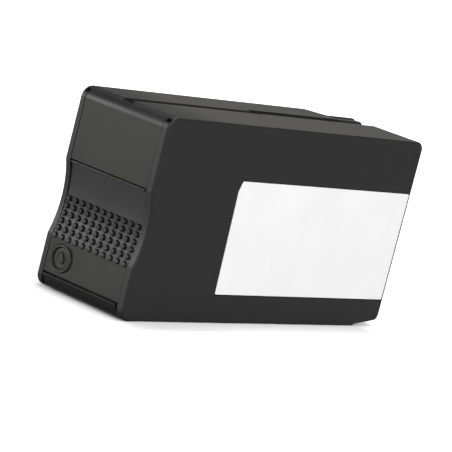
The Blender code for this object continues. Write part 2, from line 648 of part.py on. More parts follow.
def make_outlet_chassis():
    """Moulding in the rear window that carries the ink outlet and the air inlet."""
    root = FLANGE_FACE_Y - FLANGE_THICKNESS / 2
    half = WINDOW_HALF_WIDTH - FIT_GAP
    plate_low = (-half, root, WINDOW_BOTTOM + FIT_GAP)
    plate = box("outlet_chassis", plate_low, (half, CHASSIS_FACE_Y, WINDOW_TOP - FIT_GAP), DARK_GREY)
    reach = WINDOW_HALF_WIDTH + FLANGE_BORDER
    flange_back = FLANGE_FACE_Y - FLANGE_THICKNESS
    flange = box(
        "chassis_flange",
        (-reach, flange_back, WINDOW_BOTTOM - FLANGE_BORDER),
        (reach, FLANGE_FACE_Y, WINDOW_TOP + FLANGE_BORDER),
    )
    boss = rod_profile(OUTLET_BOSS_RADIUS, OUTLET_BOSS_END, root)
    outlet_boss = turned("outlet_boss", boss, 0.0, OUTLET_Z)
    air_boss = turned("air_boss", rod_profile(AIR_BOSS_RADIUS, AIR_BOSS_END, root), 0.0, AIR_Z)
    join(plate, flange, outlet_boss, air_boss)
    over = WALL
    outlet_bore = [
        (0.0, OUTLET_BOSS_END - over),
        (SOCKET_RADIUS, OUTLET_BOSS_END - over),
        (SOCKET_RADIUS, SOCKET_END),
        (INLET_RADIUS, SOCKET_END),
        (INLET_RADIUS, VALVE_BORE_END),
        (VALVE_BORE_RADIUS, VALVE_BORE_END),
        (VALVE_BORE_RADIUS, OUTLET_SEAT_Y),
        (OUTLET_SEAT_RADIUS, OUTLET_SEAT_Y),
        (OUTLET_SEAT_RADIUS, REAR + over),
        (0.0, REAR + over),
    ]
    air_bore = [
        (0.0, AIR_BOSS_END - over),
        (AIR_SEAT_RADIUS, AIR_BOSS_END - over),
        (AIR_SEAT_RADIUS, AIR_BOSS_END + MEMBRANE_SEAT_DEPTH),
        (AIR_BORE_RADIUS, AIR_BOSS_END + MEMBRANE_SEAT_DEPTH),
        (AIR_BORE_RADIUS, AIR_SEAT_Y),
        (AIR_SEAT_RADIUS, AIR_SEAT_Y),
        (AIR_SEAT_RADIUS, REAR + over),
        (0.0, REAR + over),
    ]
    cut(plate, turned("outlet_bore_cutter", outlet_bore, 0.0, OUTLET_Z))
    cut(plate, turned("air_bore_cutter", air_bore, 0.0, AIR_Z))
    return plate


def make_chassis_gasket():
    """Flat rubber frame squeezed between the chassis flange and the rear wall."""
    rear = INNER_WALL_Y - FIT_GAP
    front = rear - GASKET_THICKNESS
    reach = WINDOW_HALF_WIDTH + FLANGE_BORDER
    low = (-reach, front, WINDOW_BOTTOM - FLANGE_BORDER)
    frame = box("chassis_gasket", low, (reach, rear, WINDOW_TOP + FLANGE_BORDER), RUBBER)
    over = WALL
    hole_low = (-WINDOW_HALF_WIDTH, front - over, WINDOW_BOTTOM)
    hole = box("gasket_hole_cutter", hole_low, (WINDOW_HALF_WIDTH, rear + over, WINDOW_TOP))
    cut(frame, hole)
    return frame


def make_outlet_parts():
    """Septum, retainer, ball, spring and filter, in line on the outlet axis."""
    radius = OUTLET_SEAT_RADIUS - FIT_GAP
    septum_face = SEPTUM_BACK + SEPTUM_THICKNESS
    profile = ring_profile(SEPTUM_HOLE_RADIUS, radius, SEPTUM_BACK, septum_face)
    turned("outlet_septum", profile, 0.0, OUTLET_Z, RUBBER)
    low = septum_face + FIT_GAP
    profile = ring_profile(RETAINER_MOUTH_RADIUS, radius, low, low + RETAINER_THICKNESS)
    turned("outlet_retainer", profile, 0.0, OUTLET_Z, NATURAL)
    turns = np.radians(np.linspace(-90, 90, BALL_STEPS // 2 + 1))
    profile = [(BALL_RADIUS * math.cos(a), BALL_RADIUS * math.sin(a)) for a in turns]
    profile[0] = (0.0, -BALL_RADIUS)
    profile[-1] = (0.0, BALL_RADIUS)
    ball = turned("outlet_ball", profile, 0.0, 0.0, STEEL, steps=BALL_STEPS)
    ball.location = (0.0, BALL_Y, OUTLET_Z)
    low = SOCKET_END - FIT_GAP - FILTER_THICKNESS
    profile = rod_profile(SOCKET_RADIUS - FIT_GAP, low, low + FILTER_THICKNESS)
    turned("outlet_filter", profile, 0.0, OUTLET_Z, STEEL)


def make_outlet_spring():
    """Open coil behind the ball: a round wire carried along a helix about the outlet axis."""
    wire = SPRING_WIRE / 2
    clear = BALL_RADIUS + wire + FIT_GAP
    high = BALL_Y - math.sqrt(clear**2 - SPRING_RADIUS**2)
    low = VALVE_BORE_END + FIT_GAP + wire
    rings = []
    for step in range(SPRING_TURNS * SPRING_STEPS + 1):
        angle = 2 * math.pi * step / SPRING_STEPS
        y = low + (high - low) * step / (SPRING_TURNS * SPRING_STEPS)
        ring = []
        for side in range(WIRE_SIDES):
            around = 2 * math.pi * side / WIRE_SIDES
            radius = SPRING_RADIUS + wire * math.cos(around)
            point = (radius * math.cos(angle), y + wire * math.sin(around), radius * math.sin(angle))
            ring.append((point[0], point[1], OUTLET_Z + point[2]))
        rings.append(ring)
    return loft("outlet_spring", rings, STEEL, smooth=True)


def make_air_parts():
    """Septum, retainer and membrane, in line on the air inlet's axis."""
    radius = AIR_SEAT_RADIUS - FIT_GAP
    back = AIR_SEAT_Y + FIT_GAP
    face = back + AIR_SEPTUM_THICKNESS
    dimple_floor = face - AIR_SEPTUM_THICKNESS / 2
    profile = [(0.0, back), (radius, back), (radius, face)]
    profile += [(AIR_SEPTUM_DIMPLE_RADIUS, face), (0.0, dimple_floor)]
    turned("air_septum", profile, 0.0, AIR_Z, RUBBER)
    low = face + FIT_GAP
    profile = ring_profile(AIR_RETAINER_MOUTH_RADIUS, radius, low, low + AIR_RETAINER_THICKNESS)
    turned("air_retainer", profile, 0.0, AIR_Z, NATURAL)
    high = AIR_BOSS_END + MEMBRANE_SEAT_DEPTH - FIT_GAP
    profile = rod_profile(radius, high - MEMBRANE_THICKNESS, high)
    turned("vent_membrane", profile, 0.0, AIR_Z, MEMBRANE)


def make_bag_spout():
    """Boat-shaped base that the bag is welded to, with a flange and the tube that enters the chassis."""
    base_front = SPOUT_BASE_REAR - SPOUT_BASE_LENGTH
    angles = np.linspace(0.0, 2 * math.pi, TURN_STEPS, endpoint=False)
    ring = []
    for a in angles:
        x = SPOUT_BASE_HALF_WIDTH * math.copysign(abs(math.cos(a)) ** SPOUT_BASE_TAPER, math.cos(a))
        ring.append((x, OUTLET_Z + SPOUT_BASE_HALF_HEIGHT * math.sin(a)))
    root = SPOUT_BASE_REAR + SPOUT_FLANGE_THICKNESS / 2
    spout = loft("bag_spout", [[(x, y, z) for x, z in ring] for y in (base_front, root)], NATURAL)
    tube_end = SOCKET_END - 2 * FIT_GAP - FILTER_THICKNESS
    tube_radius = SOCKET_RADIUS - FIT_GAP
    stem = [
        (0.0, SPOUT_BASE_REAR),
        (SPOUT_FLANGE_RADIUS, SPOUT_BASE_REAR),
        (SPOUT_FLANGE_RADIUS, SPOUT_FLANGE_REAR),
        (tube_radius, SPOUT_FLANGE_REAR),
        (tube_radius, tube_end),
        (0.0, tube_end),
    ]
    join(spout, turned("spout_stem", stem, 0.0, OUTLET_Z))
    bore = rod_profile(SPOUT_BORE_RADIUS, base_front - WALL, tube_end + WALL)
    cut(spout, turned("spout_bore_cutter", bore, 0.0, OUTLET_Z))
    return spout


def swell(share):
    """Fullness of the bag from its middle (share 0) to its seam (share 1): flat, then a quarter ellipse."""
    flat = STIFFENER_SHARE
    over = np.clip((np.abs(share) - flat) / (1.0 - flat), 0.0, 1.0)
    return np.sqrt(1.0 - over**2)


def spread(half, steps):
    """Places across the bag, closer together towards its seam, from one edge to the other."""
    inner = (half - BAG_SEAM_WIDTH) * np.sin(np.linspace(-math.pi / 2, math.pi / 2, steps))
    return np.concatenate([[-half], inner, [half]])


def make_ink_bag():
    """Filled pouch: two films that swell apart from a flat welded seam all round."""
    middle_y, half_y = (BAG_REAR + BAG_FRONT) / 2, (BAG_REAR - BAG_FRONT) / 2
    middle_z, half_z = (BAG_TOP + BAG_BOTTOM) / 2, (BAG_TOP - BAG_BOTTOM) / 2
    inner_y, inner_z = half_y - BAG_SEAM_WIDTH, half_z - BAG_SEAM_WIDTH
    shape = bmesh.new()
    sides = []
    for side in (1, -1):
        grid = []
        for y in spread(half_y, BAG_COLUMNS):
            line = []
            for z in spread(half_z, BAG_ROWS):
                full = swell(min(abs(y) / inner_y, 1.0)) * swell(min(abs(z) / inner_z, 1.0))
                x = side * (BAG_SEAM + (BAG_HALF_THICKNESS - BAG_SEAM) * full)
                line.append(shape.verts.new((x, middle_y + y, middle_z + z)))
            grid.append(line)
        for a, b in zip(grid, grid[1:]):
            for k in range(len(a) - 1):
                shape.faces.new((a[k], b[k], b[k + 1], a[k + 1]))
        sides.append(grid)
    near, far = sides
    edges = [[line[0] for line in grid] for grid in sides], [[line[-1] for line in grid] for grid in sides]
    ends = [grid[0] for grid in sides], [grid[-1] for grid in sides]
    for a, b in (*edges, *ends):
        for k in range(len(a) - 1):
            shape.faces.new((a[k], a[k + 1], b[k + 1], b[k]))
    return add_object("ink_bag", shape, FOIL, smooth=True)


def make_bag_stiffeners():
    """Stiff clear sheets on the flat middle of each side of the bag."""
    half_y = STIFFENER_SHARE * ((BAG_REAR - BAG_FRONT) / 2 - BAG_SEAM_WIDTH)
    half_z = STIFFENER_SHARE * ((BAG_TOP - BAG_BOTTOM) / 2 - BAG_SEAM_WIDTH)
    middle_y, middle_z = (BAG_REAR + BAG_FRONT) / 2, (BAG_TOP + BAG_BOTTOM) / 2
    inner = BAG_HALF_THICKNESS + FIT_GAP
    outer = inner + STIFFENER_THICKNESS
    for name, low_x, high_x in (("bag_stiffener_near", inner, outer), ("bag_stiffener_far", -outer, -inner)):
        low = (low_x, middle_y - half_y, middle_z - half_z)
        box(name, low, (high_x, middle_y + half_y, middle_z + half_z), CLEAR_SHEET)


def make_chip():
    """Circuit board on the notch wall, its contact pads and the cover over its die."""
    low = (CHIP_BACK_X - CHIP_THICKNESS, CHIP_CENTRE_Y - CHIP_LENGTH / 2, CHIP_CENTRE_Z - CHIP_HEIGHT / 2)
    high = (CHIP_BACK_X, CHIP_CENTRE_Y + CHIP_LENGTH / 2, CHIP_CENTRE_Z + CHIP_HEIGHT / 2)
    box("chip_board", low, high, BOARD)
    half = CHIP_COVER_SIDE / 2
    cover_low = (CHIP_BACK_X + FIT_GAP, CHIP_CENTRE_Y - half, CHIP_CENTRE_Z - half)
    cover_high = (cover_low[0] + CHIP_COVER_THICKNESS, CHIP_CENTRE_Y + half, CHIP_CENTRE_Z + half)
    box("chip_cover", cover_low, cover_high, EPOXY)
    half = (PAD_THICKNESS / 2, PAD_LENGTH / 2, PAD_HEIGHT / 2)
    pad_x = low[0] - FIT_GAP - PAD_THICKNESS / 2
    for column in range(PAD_COLUMNS):
        for row in range(PAD_ROWS):
            y = CHIP_CENTRE_Y + (column - (PAD_COLUMNS - 1) / 2) * PAD_PITCH_Y
            z = CHIP_CENTRE_Z + (row - (PAD_ROWS - 1) / 2) * PAD_PITCH_Z
            name = f"chip_contact_{column * PAD_ROWS + row + 1}"
            pad = box(name, [-size for size in half], half, GOLD)
            pad.location = (pad_x, y, z)


def main():
    clear_scene()
    near_shell = make_near_shell()
    far_shell = make_far_shell()
    cut_notch(far_shell)
    cut_top(near_shell, far_shell)
    cut_panel_seat(near_shell, far_shell)
    cut_corner_reliefs(near_shell, far_shell)
    cut_rear_window(near_shell, far_shell)
    make_label(near_shell)
    make_grip_panel()
    make_outlet_chassis()
    make_chassis_gasket()
    make_outlet_parts()
    make_outlet_spring()
    make_air_parts()
    make_bag_spout()
    make_ink_bag()
    make_bag_stiffeners()
    make_chip()


main()
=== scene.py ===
# %% [markdown]
# # An inkjet ink cartridge
#
# The object is a tall, narrow cartridge of satin black plastic. Two half shells close on a seam along
# the top, a scooped and studded panel fills the front end between two rims, and a plain white label
# lies in the near side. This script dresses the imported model: it works out a finer skin for every
# piece that shows, gives each piece a finish made of nodes, and sets up floor, light and camera.
#
# X runs across the cartridge, Y from the grip end to the outlet end and Z up, in metres.

import math

import bmesh
import bpy
import numpy as np
from mathutils import Matrix, Vector


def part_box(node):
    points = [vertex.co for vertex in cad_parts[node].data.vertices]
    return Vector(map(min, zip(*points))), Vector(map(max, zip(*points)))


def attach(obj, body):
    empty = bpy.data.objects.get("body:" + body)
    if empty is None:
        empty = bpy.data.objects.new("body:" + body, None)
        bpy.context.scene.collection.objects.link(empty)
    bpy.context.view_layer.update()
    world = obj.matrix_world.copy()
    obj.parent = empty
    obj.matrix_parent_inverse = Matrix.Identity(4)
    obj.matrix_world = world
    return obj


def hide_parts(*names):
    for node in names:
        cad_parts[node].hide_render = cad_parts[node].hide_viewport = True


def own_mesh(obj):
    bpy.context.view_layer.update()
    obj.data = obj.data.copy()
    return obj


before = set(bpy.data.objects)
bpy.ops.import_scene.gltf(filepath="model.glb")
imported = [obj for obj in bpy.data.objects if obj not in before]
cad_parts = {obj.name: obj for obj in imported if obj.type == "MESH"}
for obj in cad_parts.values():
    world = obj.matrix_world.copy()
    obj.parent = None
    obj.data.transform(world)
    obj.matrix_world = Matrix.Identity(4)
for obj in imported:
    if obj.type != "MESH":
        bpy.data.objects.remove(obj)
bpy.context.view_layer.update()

MM = 0.001
near_low, near_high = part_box("near_shell")
far_low, far_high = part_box("far_shell")
panel_low, panel_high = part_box("grip_panel")
label_low, label_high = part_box("label")
FRONT, REAR = near_low.y, near_high.y
HEIGHT = near_high.z
WIDTH = near_high.x - far_low.x
print("housing in mm:", [round(size / MM, 2) for size in (WIDTH, REAR - FRONT, HEIGHT)])

# %% [markdown]
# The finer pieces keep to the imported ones, so they need the same sizes. What a box can't tell, such as
# the depth of a groove or the radius of a corner, is named here once.

# %% Sizes of the housing, its seam, slot and notch
FIT_GAP = 0.3 * MM
WALL = 1.8 * MM
FRONT_RADIUS = 3.5 * MM
REAR_TOP_RADIUS = 2.6 * MM
HEEL_RADIUS = 2.0 * MM
SIDE_EDGE_RADIUS = 0.6 * MM
INNER_RADIUS = 0.2 * MM
HEEL_LENGTH = 11.3 * MM
HEEL_STEP = 0.5 * MM
HEEL_LIFT = 1.7 * MM
SCOOP_TOP = 36.1 * MM
SCOOP_BOTTOM = 14.8 * MM
SCOOP_DEPTH = 1.95 * MM
PANEL_SEAT = 1.85 * MM
LIP_LENGTH = 2.0 * MM
LIP_WALL = 0.8 * MM
LIP_ROOT = 4.0 * MM
LIP_INSET = WALL + FIT_GAP
SEAM_X = far_high.x + FIT_GAP / 2
SEAM_GROOVE_WIDTH = 2.7 * MM
SEAM_GROOVE_DEPTH = 0.7 * MM
RIM_RELIEF_START = 0.3 * MM
RIM_RELIEF_LENGTH = 1.3 * MM
RIM_RELIEF_DEPTH = 1.8 * MM
SEAM_RELIEF_LENGTH = 3.6 * MM
SEAM_RELIEF_DEPTH = 2.6 * MM
SEAM_RELIEF_WIDTH = 4.4 * MM
SEAM_RELIEF_END = (0.5 * MM, 1.2 * MM)
RELIEF_UNDERCUT = 0.7 * MM
RELIEF_LIP = 0.12 * MM
SLOT_START = REAR - 56.9 * MM
SLOT_NEAR_X = -1.1 * MM
SLOT_WIDTH = 4.3 * MM
SLOT_REAR_WIDTH = 6.0 * MM
SLOT_DEPTH = 1.1 * MM
STEP_DEPTH = 0.45 * MM
NOTCH_X = -WIDTH / 2 + 6.9 * MM
NOTCH_Y = REAR - 14.4 * MM
NOTCH_RAMP = 3.2 * MM
NOTCH_FLOOR = HEIGHT - 15.0 * MM
NOTCH_WALL = 2.5 * MM
RIB_WIDTH = 0.6 * MM
PANEL_LOW_X = panel_low.x - FIT_GAP
PANEL_HIGH_X = panel_high.x + FIT_GAP
print("seam at", round(SEAM_X / MM, 2), "panel seat from", round(PANEL_LOW_X / MM, 2))

# %% [markdown]
# ## Tools for skins worked out as arrays
#
# Every new piece is a grid of points: rings carried along a row of stations, or a profile turned
# about an axis. One helper joins such a grid with four-sided faces, closes its ends and points the
# faces outwards. Holes and pockets are cut by exact Booleans, because a moulded pocket has a sharp
# plan and its walls stay flat. A small bevel then gives each edge the radius that a mould leaves,
# and weighted normals keep the flat faces flat beside it.


# %% Meshes from grids of points
MERGE_REACH = 0.001 * MM


def make_piece(name, points, faces):
    """Object with a mesh of these points and faces, merged where they meet and turned outwards."""
    mesh = bpy.data.meshes.new(name)
    mesh.from_pydata(np.asarray(points).reshape(-1, 3).tolist(), [], faces)
    shape = bmesh.new()
    shape.from_mesh(mesh)
    bmesh.ops.remove_doubles(shape, verts=shape.verts, dist=MERGE_REACH)
    bmesh.ops.recalc_face_normals(shape, faces=shape.faces)
    shape.to_mesh(mesh)
    shape.free()
    mesh.shade_smooth()
    piece = bpy.data.objects.new(name, mesh)
    bpy.context.scene.collection.objects.link(piece)
    return piece


def grid_quads(rows, columns, wrap_rows=False):
    """Corner numbers of the faces of a grid: (i, j), (i + 1, j), (i + 1, j + 1), (i, j + 1).

    The last column joins the first one, and with wrap_rows the last row joins the first row too."""
    number = np.arange(rows * columns).reshape(rows, columns)
    if wrap_rows:
        number = np.concatenate([number, number[:1]], axis=0)
    number = np.concatenate([number, number[:, :1]], axis=1)
    corners = [number[:-1, :-1], number[1:, :-1], number[1:, 1:], number[:-1, 1:]]
    return np.stack(corners, axis=-1).reshape(-1, 4)


def loft(name, rings):
    """Closed solid through rings of points, as an array of (stations, points, 3), capped at both ends."""
    stations, points = rings.shape[:2]
    total = stations * points
    faces = grid_quads(stations, points).tolist()
    faces += [list(range(points)), list(range(total - 1, total - points - 1, -1))]
    return make_piece(name, rings, faces)


def turned(name, profile, centre_x, centre_z, steps=64, closed=False):
    """Profile of (radius, y) points turned about an axis along Y: x = r cos a, z = r sin a."""
    radius, along = np.array(profile).T
    turn = np.linspace(0, 2 * math.pi, steps, endpoint=False)
    x = centre_x + radius[:, None] * np.cos(turn)
    z = centre_z + radius[:, None] * np.sin(turn)
    points = np.stack([x, np.broadcast_to(along[:, None], x.shape), z], axis=-1)
    return make_piece(name, points, grid_quads(*x.shape, wrap_rows=closed).tolist())


def cylinder(name, radius, start, end, centre_x, centre_z, steps=64):
    """Solid cylinder along Y, from start to end."""
    profile = [(0, start), (radius, start), (radius, end), (0, end)]
    return turned(name, profile, centre_x, centre_z, steps)


def prism_along_x(name, outline_yz, low_x, high_x):
    """Outline of (y, z) points carried straight from low_x to high_x."""
    outline_yz = np.array(outline_yz)
    rings = [np.column_stack([np.full(len(outline_yz), x), outline_yz]) for x in (low_x, high_x)]
    return loft(name, np.array(rings))


def block(name, low, high):
    """Box between two corners."""
    corners = [(low[1], low[2]), (high[1], low[2]), (high[1], high[2]), (low[1], high[2])]
    return prism_along_x(name, corners, low[0], high[0])


# %% Cutting, joining and rounding
def frozen(piece):
    """Replace the piece's modifiers by the mesh that they make."""
    made = bpy.data.meshes.new_from_object(piece.evaluated_get(bpy.context.evaluated_depsgraph_get()))
    piece.modifiers.clear()
    piece.data = made
    return piece


def carve(piece, join=(), cut=()):
    """Exact Booleans with each tool in turn. The tools are used up."""
    for tools, operation in ((join, "UNION"), (cut, "DIFFERENCE")):
        for tool in tools:
            change = piece.modifiers.new(tool.name, "BOOLEAN")
            change.operation, change.solver, change.object = operation, "EXACT", tool
    frozen(piece)
    for tool in (*join, *cut):
        bpy.data.objects.remove(tool, do_unlink=True)
    return piece


def open_edges(piece):
    """How many edges don't have exactly two faces."""
    shape = bmesh.new()
    shape.from_mesh(piece.data)
    found = sum(1 for edge in shape.edges if len(edge.link_faces) != 2)
    shape.free()
    return found


def folded(piece):
    """How many triangles point against the face that they are part of."""
    piece.data.calc_loop_triangles()
    faces = piece.data.polygons
    parts = piece.data.loop_triangles
    return sum(1 for part in parts if part.normal.dot(faces[part.polygon_index].normal) < 0)


WELD_REACH = 0.002 * MM
FLAT_BELOW = math.radians(0.05)
BEVEL_ABOVE = math.radians(62)
SHARP_ABOVE = math.radians(50)


def round_edges(piece, width, segments=2, merge_flat=True):
    """Clean the carved mesh, bevel its sharp edges and let the large faces lead the shading."""
    shape = bmesh.new()
    shape.from_mesh(piece.data)
    bmesh.ops.remove_doubles(shape, verts=shape.verts, dist=WELD_REACH)
    bmesh.ops.dissolve_degenerate(shape, edges=shape.edges, dist=WELD_REACH)
    if merge_flat:
        bmesh.ops.dissolve_limit(shape, angle_limit=FLAT_BELOW, verts=shape.verts, edges=shape.edges)
    bmesh.ops.triangulate(shape, faces=[face for face in shape.faces if len(face.verts) > 4])
    shape.to_mesh(piece.data)
    shape.free()
    bevel = piece.modifiers.new("moulded edges", "BEVEL")
    bevel.width, bevel.segments = width, segments
    bevel.limit_method, bevel.angle_limit = "ANGLE", BEVEL_ABOVE
    bevel.use_clamp_overlap = False
    bevel.miter_outer = "MITER_ARC"
    piece.data.shade_smooth()
    frozen(piece)
    piece.data.set_sharp_from_angle(angle=SHARP_ABOVE)
    weighted = piece.modifiers.new("flat faces lead", "WEIGHTED_NORMAL")
    weighted.keep_sharp = True
    frozen(piece)
    print(piece.name, len(piece.data.polygons), "faces,",
          open_edges(piece), "open edges,", folded(piece), "folded")
    return piece


# %% [markdown]
# ## Housing
#
# The side profile of the housing is one closed line: a rounded front, a finger scoop, a rounded rear
# top corner and a heel that steps up at the rear. A half shell is that line carried along X through
# stations that also say how far it shrinks inwards: first round the side edge, then over the rim and
# back along the inside of the wall. It is open towards the seam, as a moulded half shell is.


# %% Side profile
CORNER_STEPS = 20
SCOOP_STEPS = 36


def arc(centre_y, centre_z, radius, start, end, steps=CORNER_STEPS):
    """Points of a circular arc from angle start to angle end, in degrees: (y + r cos a, z + r sin a)."""
    turn = np.radians(np.linspace(start, end, steps + 1))
    return np.stack([centre_y + radius * np.cos(turn), centre_z + radius * np.sin(turn)], axis=1)


def scoop(z):
    """Depth of the finger scoop: a circular arc through its two kinks, SCOOP_DEPTH deep halfway."""
    half = (SCOOP_TOP - SCOOP_BOTTOM) / 2
    radius = (half**2 + SCOOP_DEPTH**2) / (2 * SCOOP_DEPTH)
    offset = np.clip(np.abs(z - (SCOOP_TOP + SCOOP_BOTTOM) / 2), 0, half)
    return np.sqrt(radius**2 - offset**2) - (radius - SCOOP_DEPTH)


def scoop_line(base, start, end):
    """Points at even heights from start to end, as deep behind base as the scoop is there."""
    z = np.linspace(start, end, SCOOP_STEPS + 1)
    return np.stack([base + scoop(z), z], axis=1)


def side_profile(inset):
    """Housing outline as (y, z), moved in by inset. Inside the wall the front clears the panel's seat."""
    low, top = inset, HEIGHT - inset
    front = FRONT + inset + (PANEL_SEAT if inset >= WALL else 0.0)
    rear = REAR - inset
    front_radius, top_radius, heel_radius = (
        max(radius - inset, INNER_RADIUS) for radius in (FRONT_RADIUS, REAR_TOP_RADIUS, HEEL_RADIUS)
    )
    heel_y = REAR - HEEL_LENGTH
    slope = math.degrees(math.atan2(HEEL_LIFT - HEEL_STEP, HEEL_LENGTH - HEEL_RADIUS))
    return np.concatenate([
        arc(front + front_radius, low + front_radius, front_radius, 180, 270),
        [(heel_y, low), (heel_y + HEEL_STEP, low + HEEL_STEP)],
        arc(rear - heel_radius, low + HEEL_LIFT + heel_radius, heel_radius, 270 + slope, 360),
        arc(rear - top_radius, top - top_radius, top_radius, 0, 90),
        arc(front + front_radius, top - front_radius, front_radius, 90, 180),
        scoop_line(front, SCOOP_TOP, SCOOP_BOTTOM),
    ])


def half_shell(name, stations):
    """The side profile at each station (x, inset), joined into one solid."""
    rings = []
    for x, inset in stations:
        outline = side_profile(inset)
        rings.append(np.column_stack([np.full(len(outline), x), outline]))
    return loft(name, np.array(rings))


def rounded_side(side, steps=6):
    """Stations over the rounded edge of a side face, a quarter circle of the edge radius R.

    At angle a the station lies R (1 - sin a) inside the width and R (1 - cos a) inside the outline."""
    turn = np.linspace(math.pi / 2, 0, steps + 1)
    x = side * (WIDTH / 2 - SIDE_EDGE_RADIUS * (1 - np.sin(turn)))
    return list(zip(x, SIDE_EDGE_RADIUS * (1 - np.cos(turn))))


print("side profile:", len(side_profile(0.0)), "points")


# %% [markdown]
# ### Cutters for the half shells
#
# A real mould has a core or a slide for each slot and pocket. Here each one is a closed solid that
# reaches a little past the surface, so that the Boolean never meets two faces in one plane. Both half
# shells are cut by the same functions, which keeps the two halves of a slot or a window in line.

# %% Cutters
OVER = WALL
TOP = HEIGHT + OVER


def seam_groove():
    """Shallow groove along the front half of the seam. All of it lies in the near shell."""
    low = (SEAM_X, FRONT + PANEL_SEAT - OVER, HEIGHT - SEAM_GROOVE_DEPTH)
    return block("seam_groove_tool", low, (SEAM_X + SEAM_GROOVE_WIDTH, SLOT_START + OVER, TOP))


def guide_slot():
    """Long slot beside the seam in the rear half of the top, open at the rear."""
    low = (SLOT_NEAR_X - SLOT_WIDTH, SLOT_START, HEIGHT - SLOT_DEPTH)
    return block("slot_tool", low, (SLOT_NEAR_X, REAR + OVER, TOP))


def panel_pocket():
    """Everything in front of the panel's seat, whose back wall follows the scoop."""
    seat = FRONT + PANEL_SEAT
    back = scoop_line(seat, SCOOP_BOTTOM, SCOOP_TOP)
    corners = [[(FRONT - OVER, -OVER), (seat, -OVER)], back, [(seat, TOP), (FRONT - OVER, TOP)]]
    return prism_along_x("pocket_tool", np.concatenate(corners), PANEL_LOW_X, PANEL_HIGH_X)


WINDOW_HALF_WIDTH = 6.0 * MM
WINDOW_BOTTOM = 6.0 * MM
WINDOW_TOP = 36.0 * MM
FLANGE_BORDER = 1.2 * MM
RECESS_DEPTH = 0.1 * MM


def rear_window():
    """Window in the rear wall for the outlet chassis."""
    low = (-WINDOW_HALF_WIDTH, REAR - WALL - OVER, WINDOW_BOTTOM)
    return block("window_tool", low, (WINDOW_HALF_WIDTH, REAR + OVER, WINDOW_TOP))


def gasket_seat():
    """Shallow recess round the window, inside the wall, for the gasket."""
    border = FLANGE_BORDER + FIT_GAP
    reach, wall_y = WINDOW_HALF_WIDTH + border, REAR - WALL + RECESS_DEPTH
    return block("gasket_seat_tool", (-reach, wall_y - OVER, WINDOW_BOTTOM - border),
                 (reach, wall_y, WINDOW_TOP + border))


def relief(start, length, depth, low_x, high_x):
    """Pocket open at the top, whose rear wall leans back under the top face and so stays dark."""
    end, floor = start + length, HEIGHT - depth
    rear_wall = [(end + RELIEF_UNDERCUT, floor), (end, HEIGHT - RELIEF_LIP), (end, TOP)]
    return prism_along_x("relief_tool", [(start, floor), *rear_wall, (start, TOP)], low_x, high_x)


def rim_relief(low_x, high_x):
    """Relief across the front of a rim's top."""
    return relief(FRONT + RIM_RELIEF_START, RIM_RELIEF_LENGTH, RIM_RELIEF_DEPTH, low_x, high_x)


def seam_relief():
    """Pocket behind the panel, which narrows to the rear along the seam and widens downwards."""
    seat = FRONT + PANEL_SEAT
    end_far, end_near = SEAM_RELIEF_END
    corners = np.array([
        (SEAM_X - FIT_GAP, seat - OVER),
        (SEAM_X + SEAM_RELIEF_WIDTH + OVER, seat - OVER),
        (SEAM_X + SEAM_RELIEF_WIDTH, seat),
        (SEAM_X + end_near, seat + SEAM_RELIEF_LENGTH),
        (SEAM_X + end_far, seat + SEAM_RELIEF_LENGTH),
    ])
    wider = corners + np.array([0, RELIEF_UNDERCUT])
    levels = [(wider, HEIGHT - SEAM_RELIEF_DEPTH), (corners, HEIGHT - RELIEF_LIP), (corners, TOP)]
    rings = [np.column_stack([plan, np.full(len(plan), z)]) for plan, z in levels]
    return loft("seam_relief_tool", np.array(rings))


PIN_RADIUS = 1.1 * MM
PIN_LENGTH = 1.7 * MM
PIN_HOLE_DEPTH = 6 * MM
PIN_INSET = 5.8 * MM
PIN_LEVEL = 9.5 * MM
PIN_HEIGHTS = (PIN_LEVEL, HEIGHT - PIN_LEVEL)
PIN_NEAR_X = PANEL_HIGH_X - PIN_INSET
PIN_FAR_X = PANEL_LOW_X + PIN_INSET


def pin_holes(x):
    """Two holes, one above the other, for the pins that hold the panel."""
    radius, end = PIN_RADIUS + FIT_GAP, FRONT + PIN_HOLE_DEPTH
    return [cylinder("pin_hole_tool", radius, FRONT, end, x, z, steps=32) for z in PIN_HEIGHTS]


print("slot from", round((SLOT_START - FRONT) / MM, 1), "mm behind the front,",
      "window", round((WINDOW_TOP - WINDOW_BOTTOM) / MM, 1), "mm high")


# %% [markdown]
# ### Label recess
#
# The label is a die-cut rectangle whose upper front corner is taken off and whose front edge slants a
# little. Its recess in the side is the same outline grown by the fit gap. Both could be drawn as
# curves, but one list of corners with two small functions, to grow and to round it, keeps them apart
# by the same gap all round.

# %% Label outline
LABEL_REAR = label_high.y
LABEL_FRONT = label_low.y
LABEL_BOTTOM = label_low.z
LABEL_TOP = label_high.z
LABEL_CORNER_HEIGHT = 3.0 * MM
LABEL_CORNER_SLANT = 1.0 * MM
LABEL_CORNER_RADIUS = 0.35 * MM
RECESS_CORNER_RADIUS = 0.5 * MM


def label_corners():
    """The label's corners as (y, z), anticlockwise seen from its printed face."""
    return np.array([
        (LABEL_FRONT + LABEL_CORNER_SLANT, LABEL_BOTTOM),
        (LABEL_REAR, LABEL_BOTTOM),
        (LABEL_REAR, LABEL_TOP),
        (LABEL_FRONT + LABEL_CORNER_SLANT, LABEL_TOP),
        (LABEL_FRONT, LABEL_TOP - LABEL_CORNER_HEIGHT),
    ])


def edge_directions(corners):
    """Unit vector from each corner to the next one."""
    ahead = np.roll(corners, -1, axis=0) - corners
    return ahead / np.linalg.norm(ahead, axis=1)[:, None]


def grown(corners, distance):
    """Move each side outwards by distance: a corner shifts along the sum of its two sides' normals."""
    ahead = edge_directions(corners)
    normal = np.stack([ahead[:, 1], -ahead[:, 0]], axis=1)
    before = np.roll(normal, 1, axis=0)
    share = 1 + (normal * before).sum(axis=1)
    return corners + distance * (normal + before) / share[:, None]


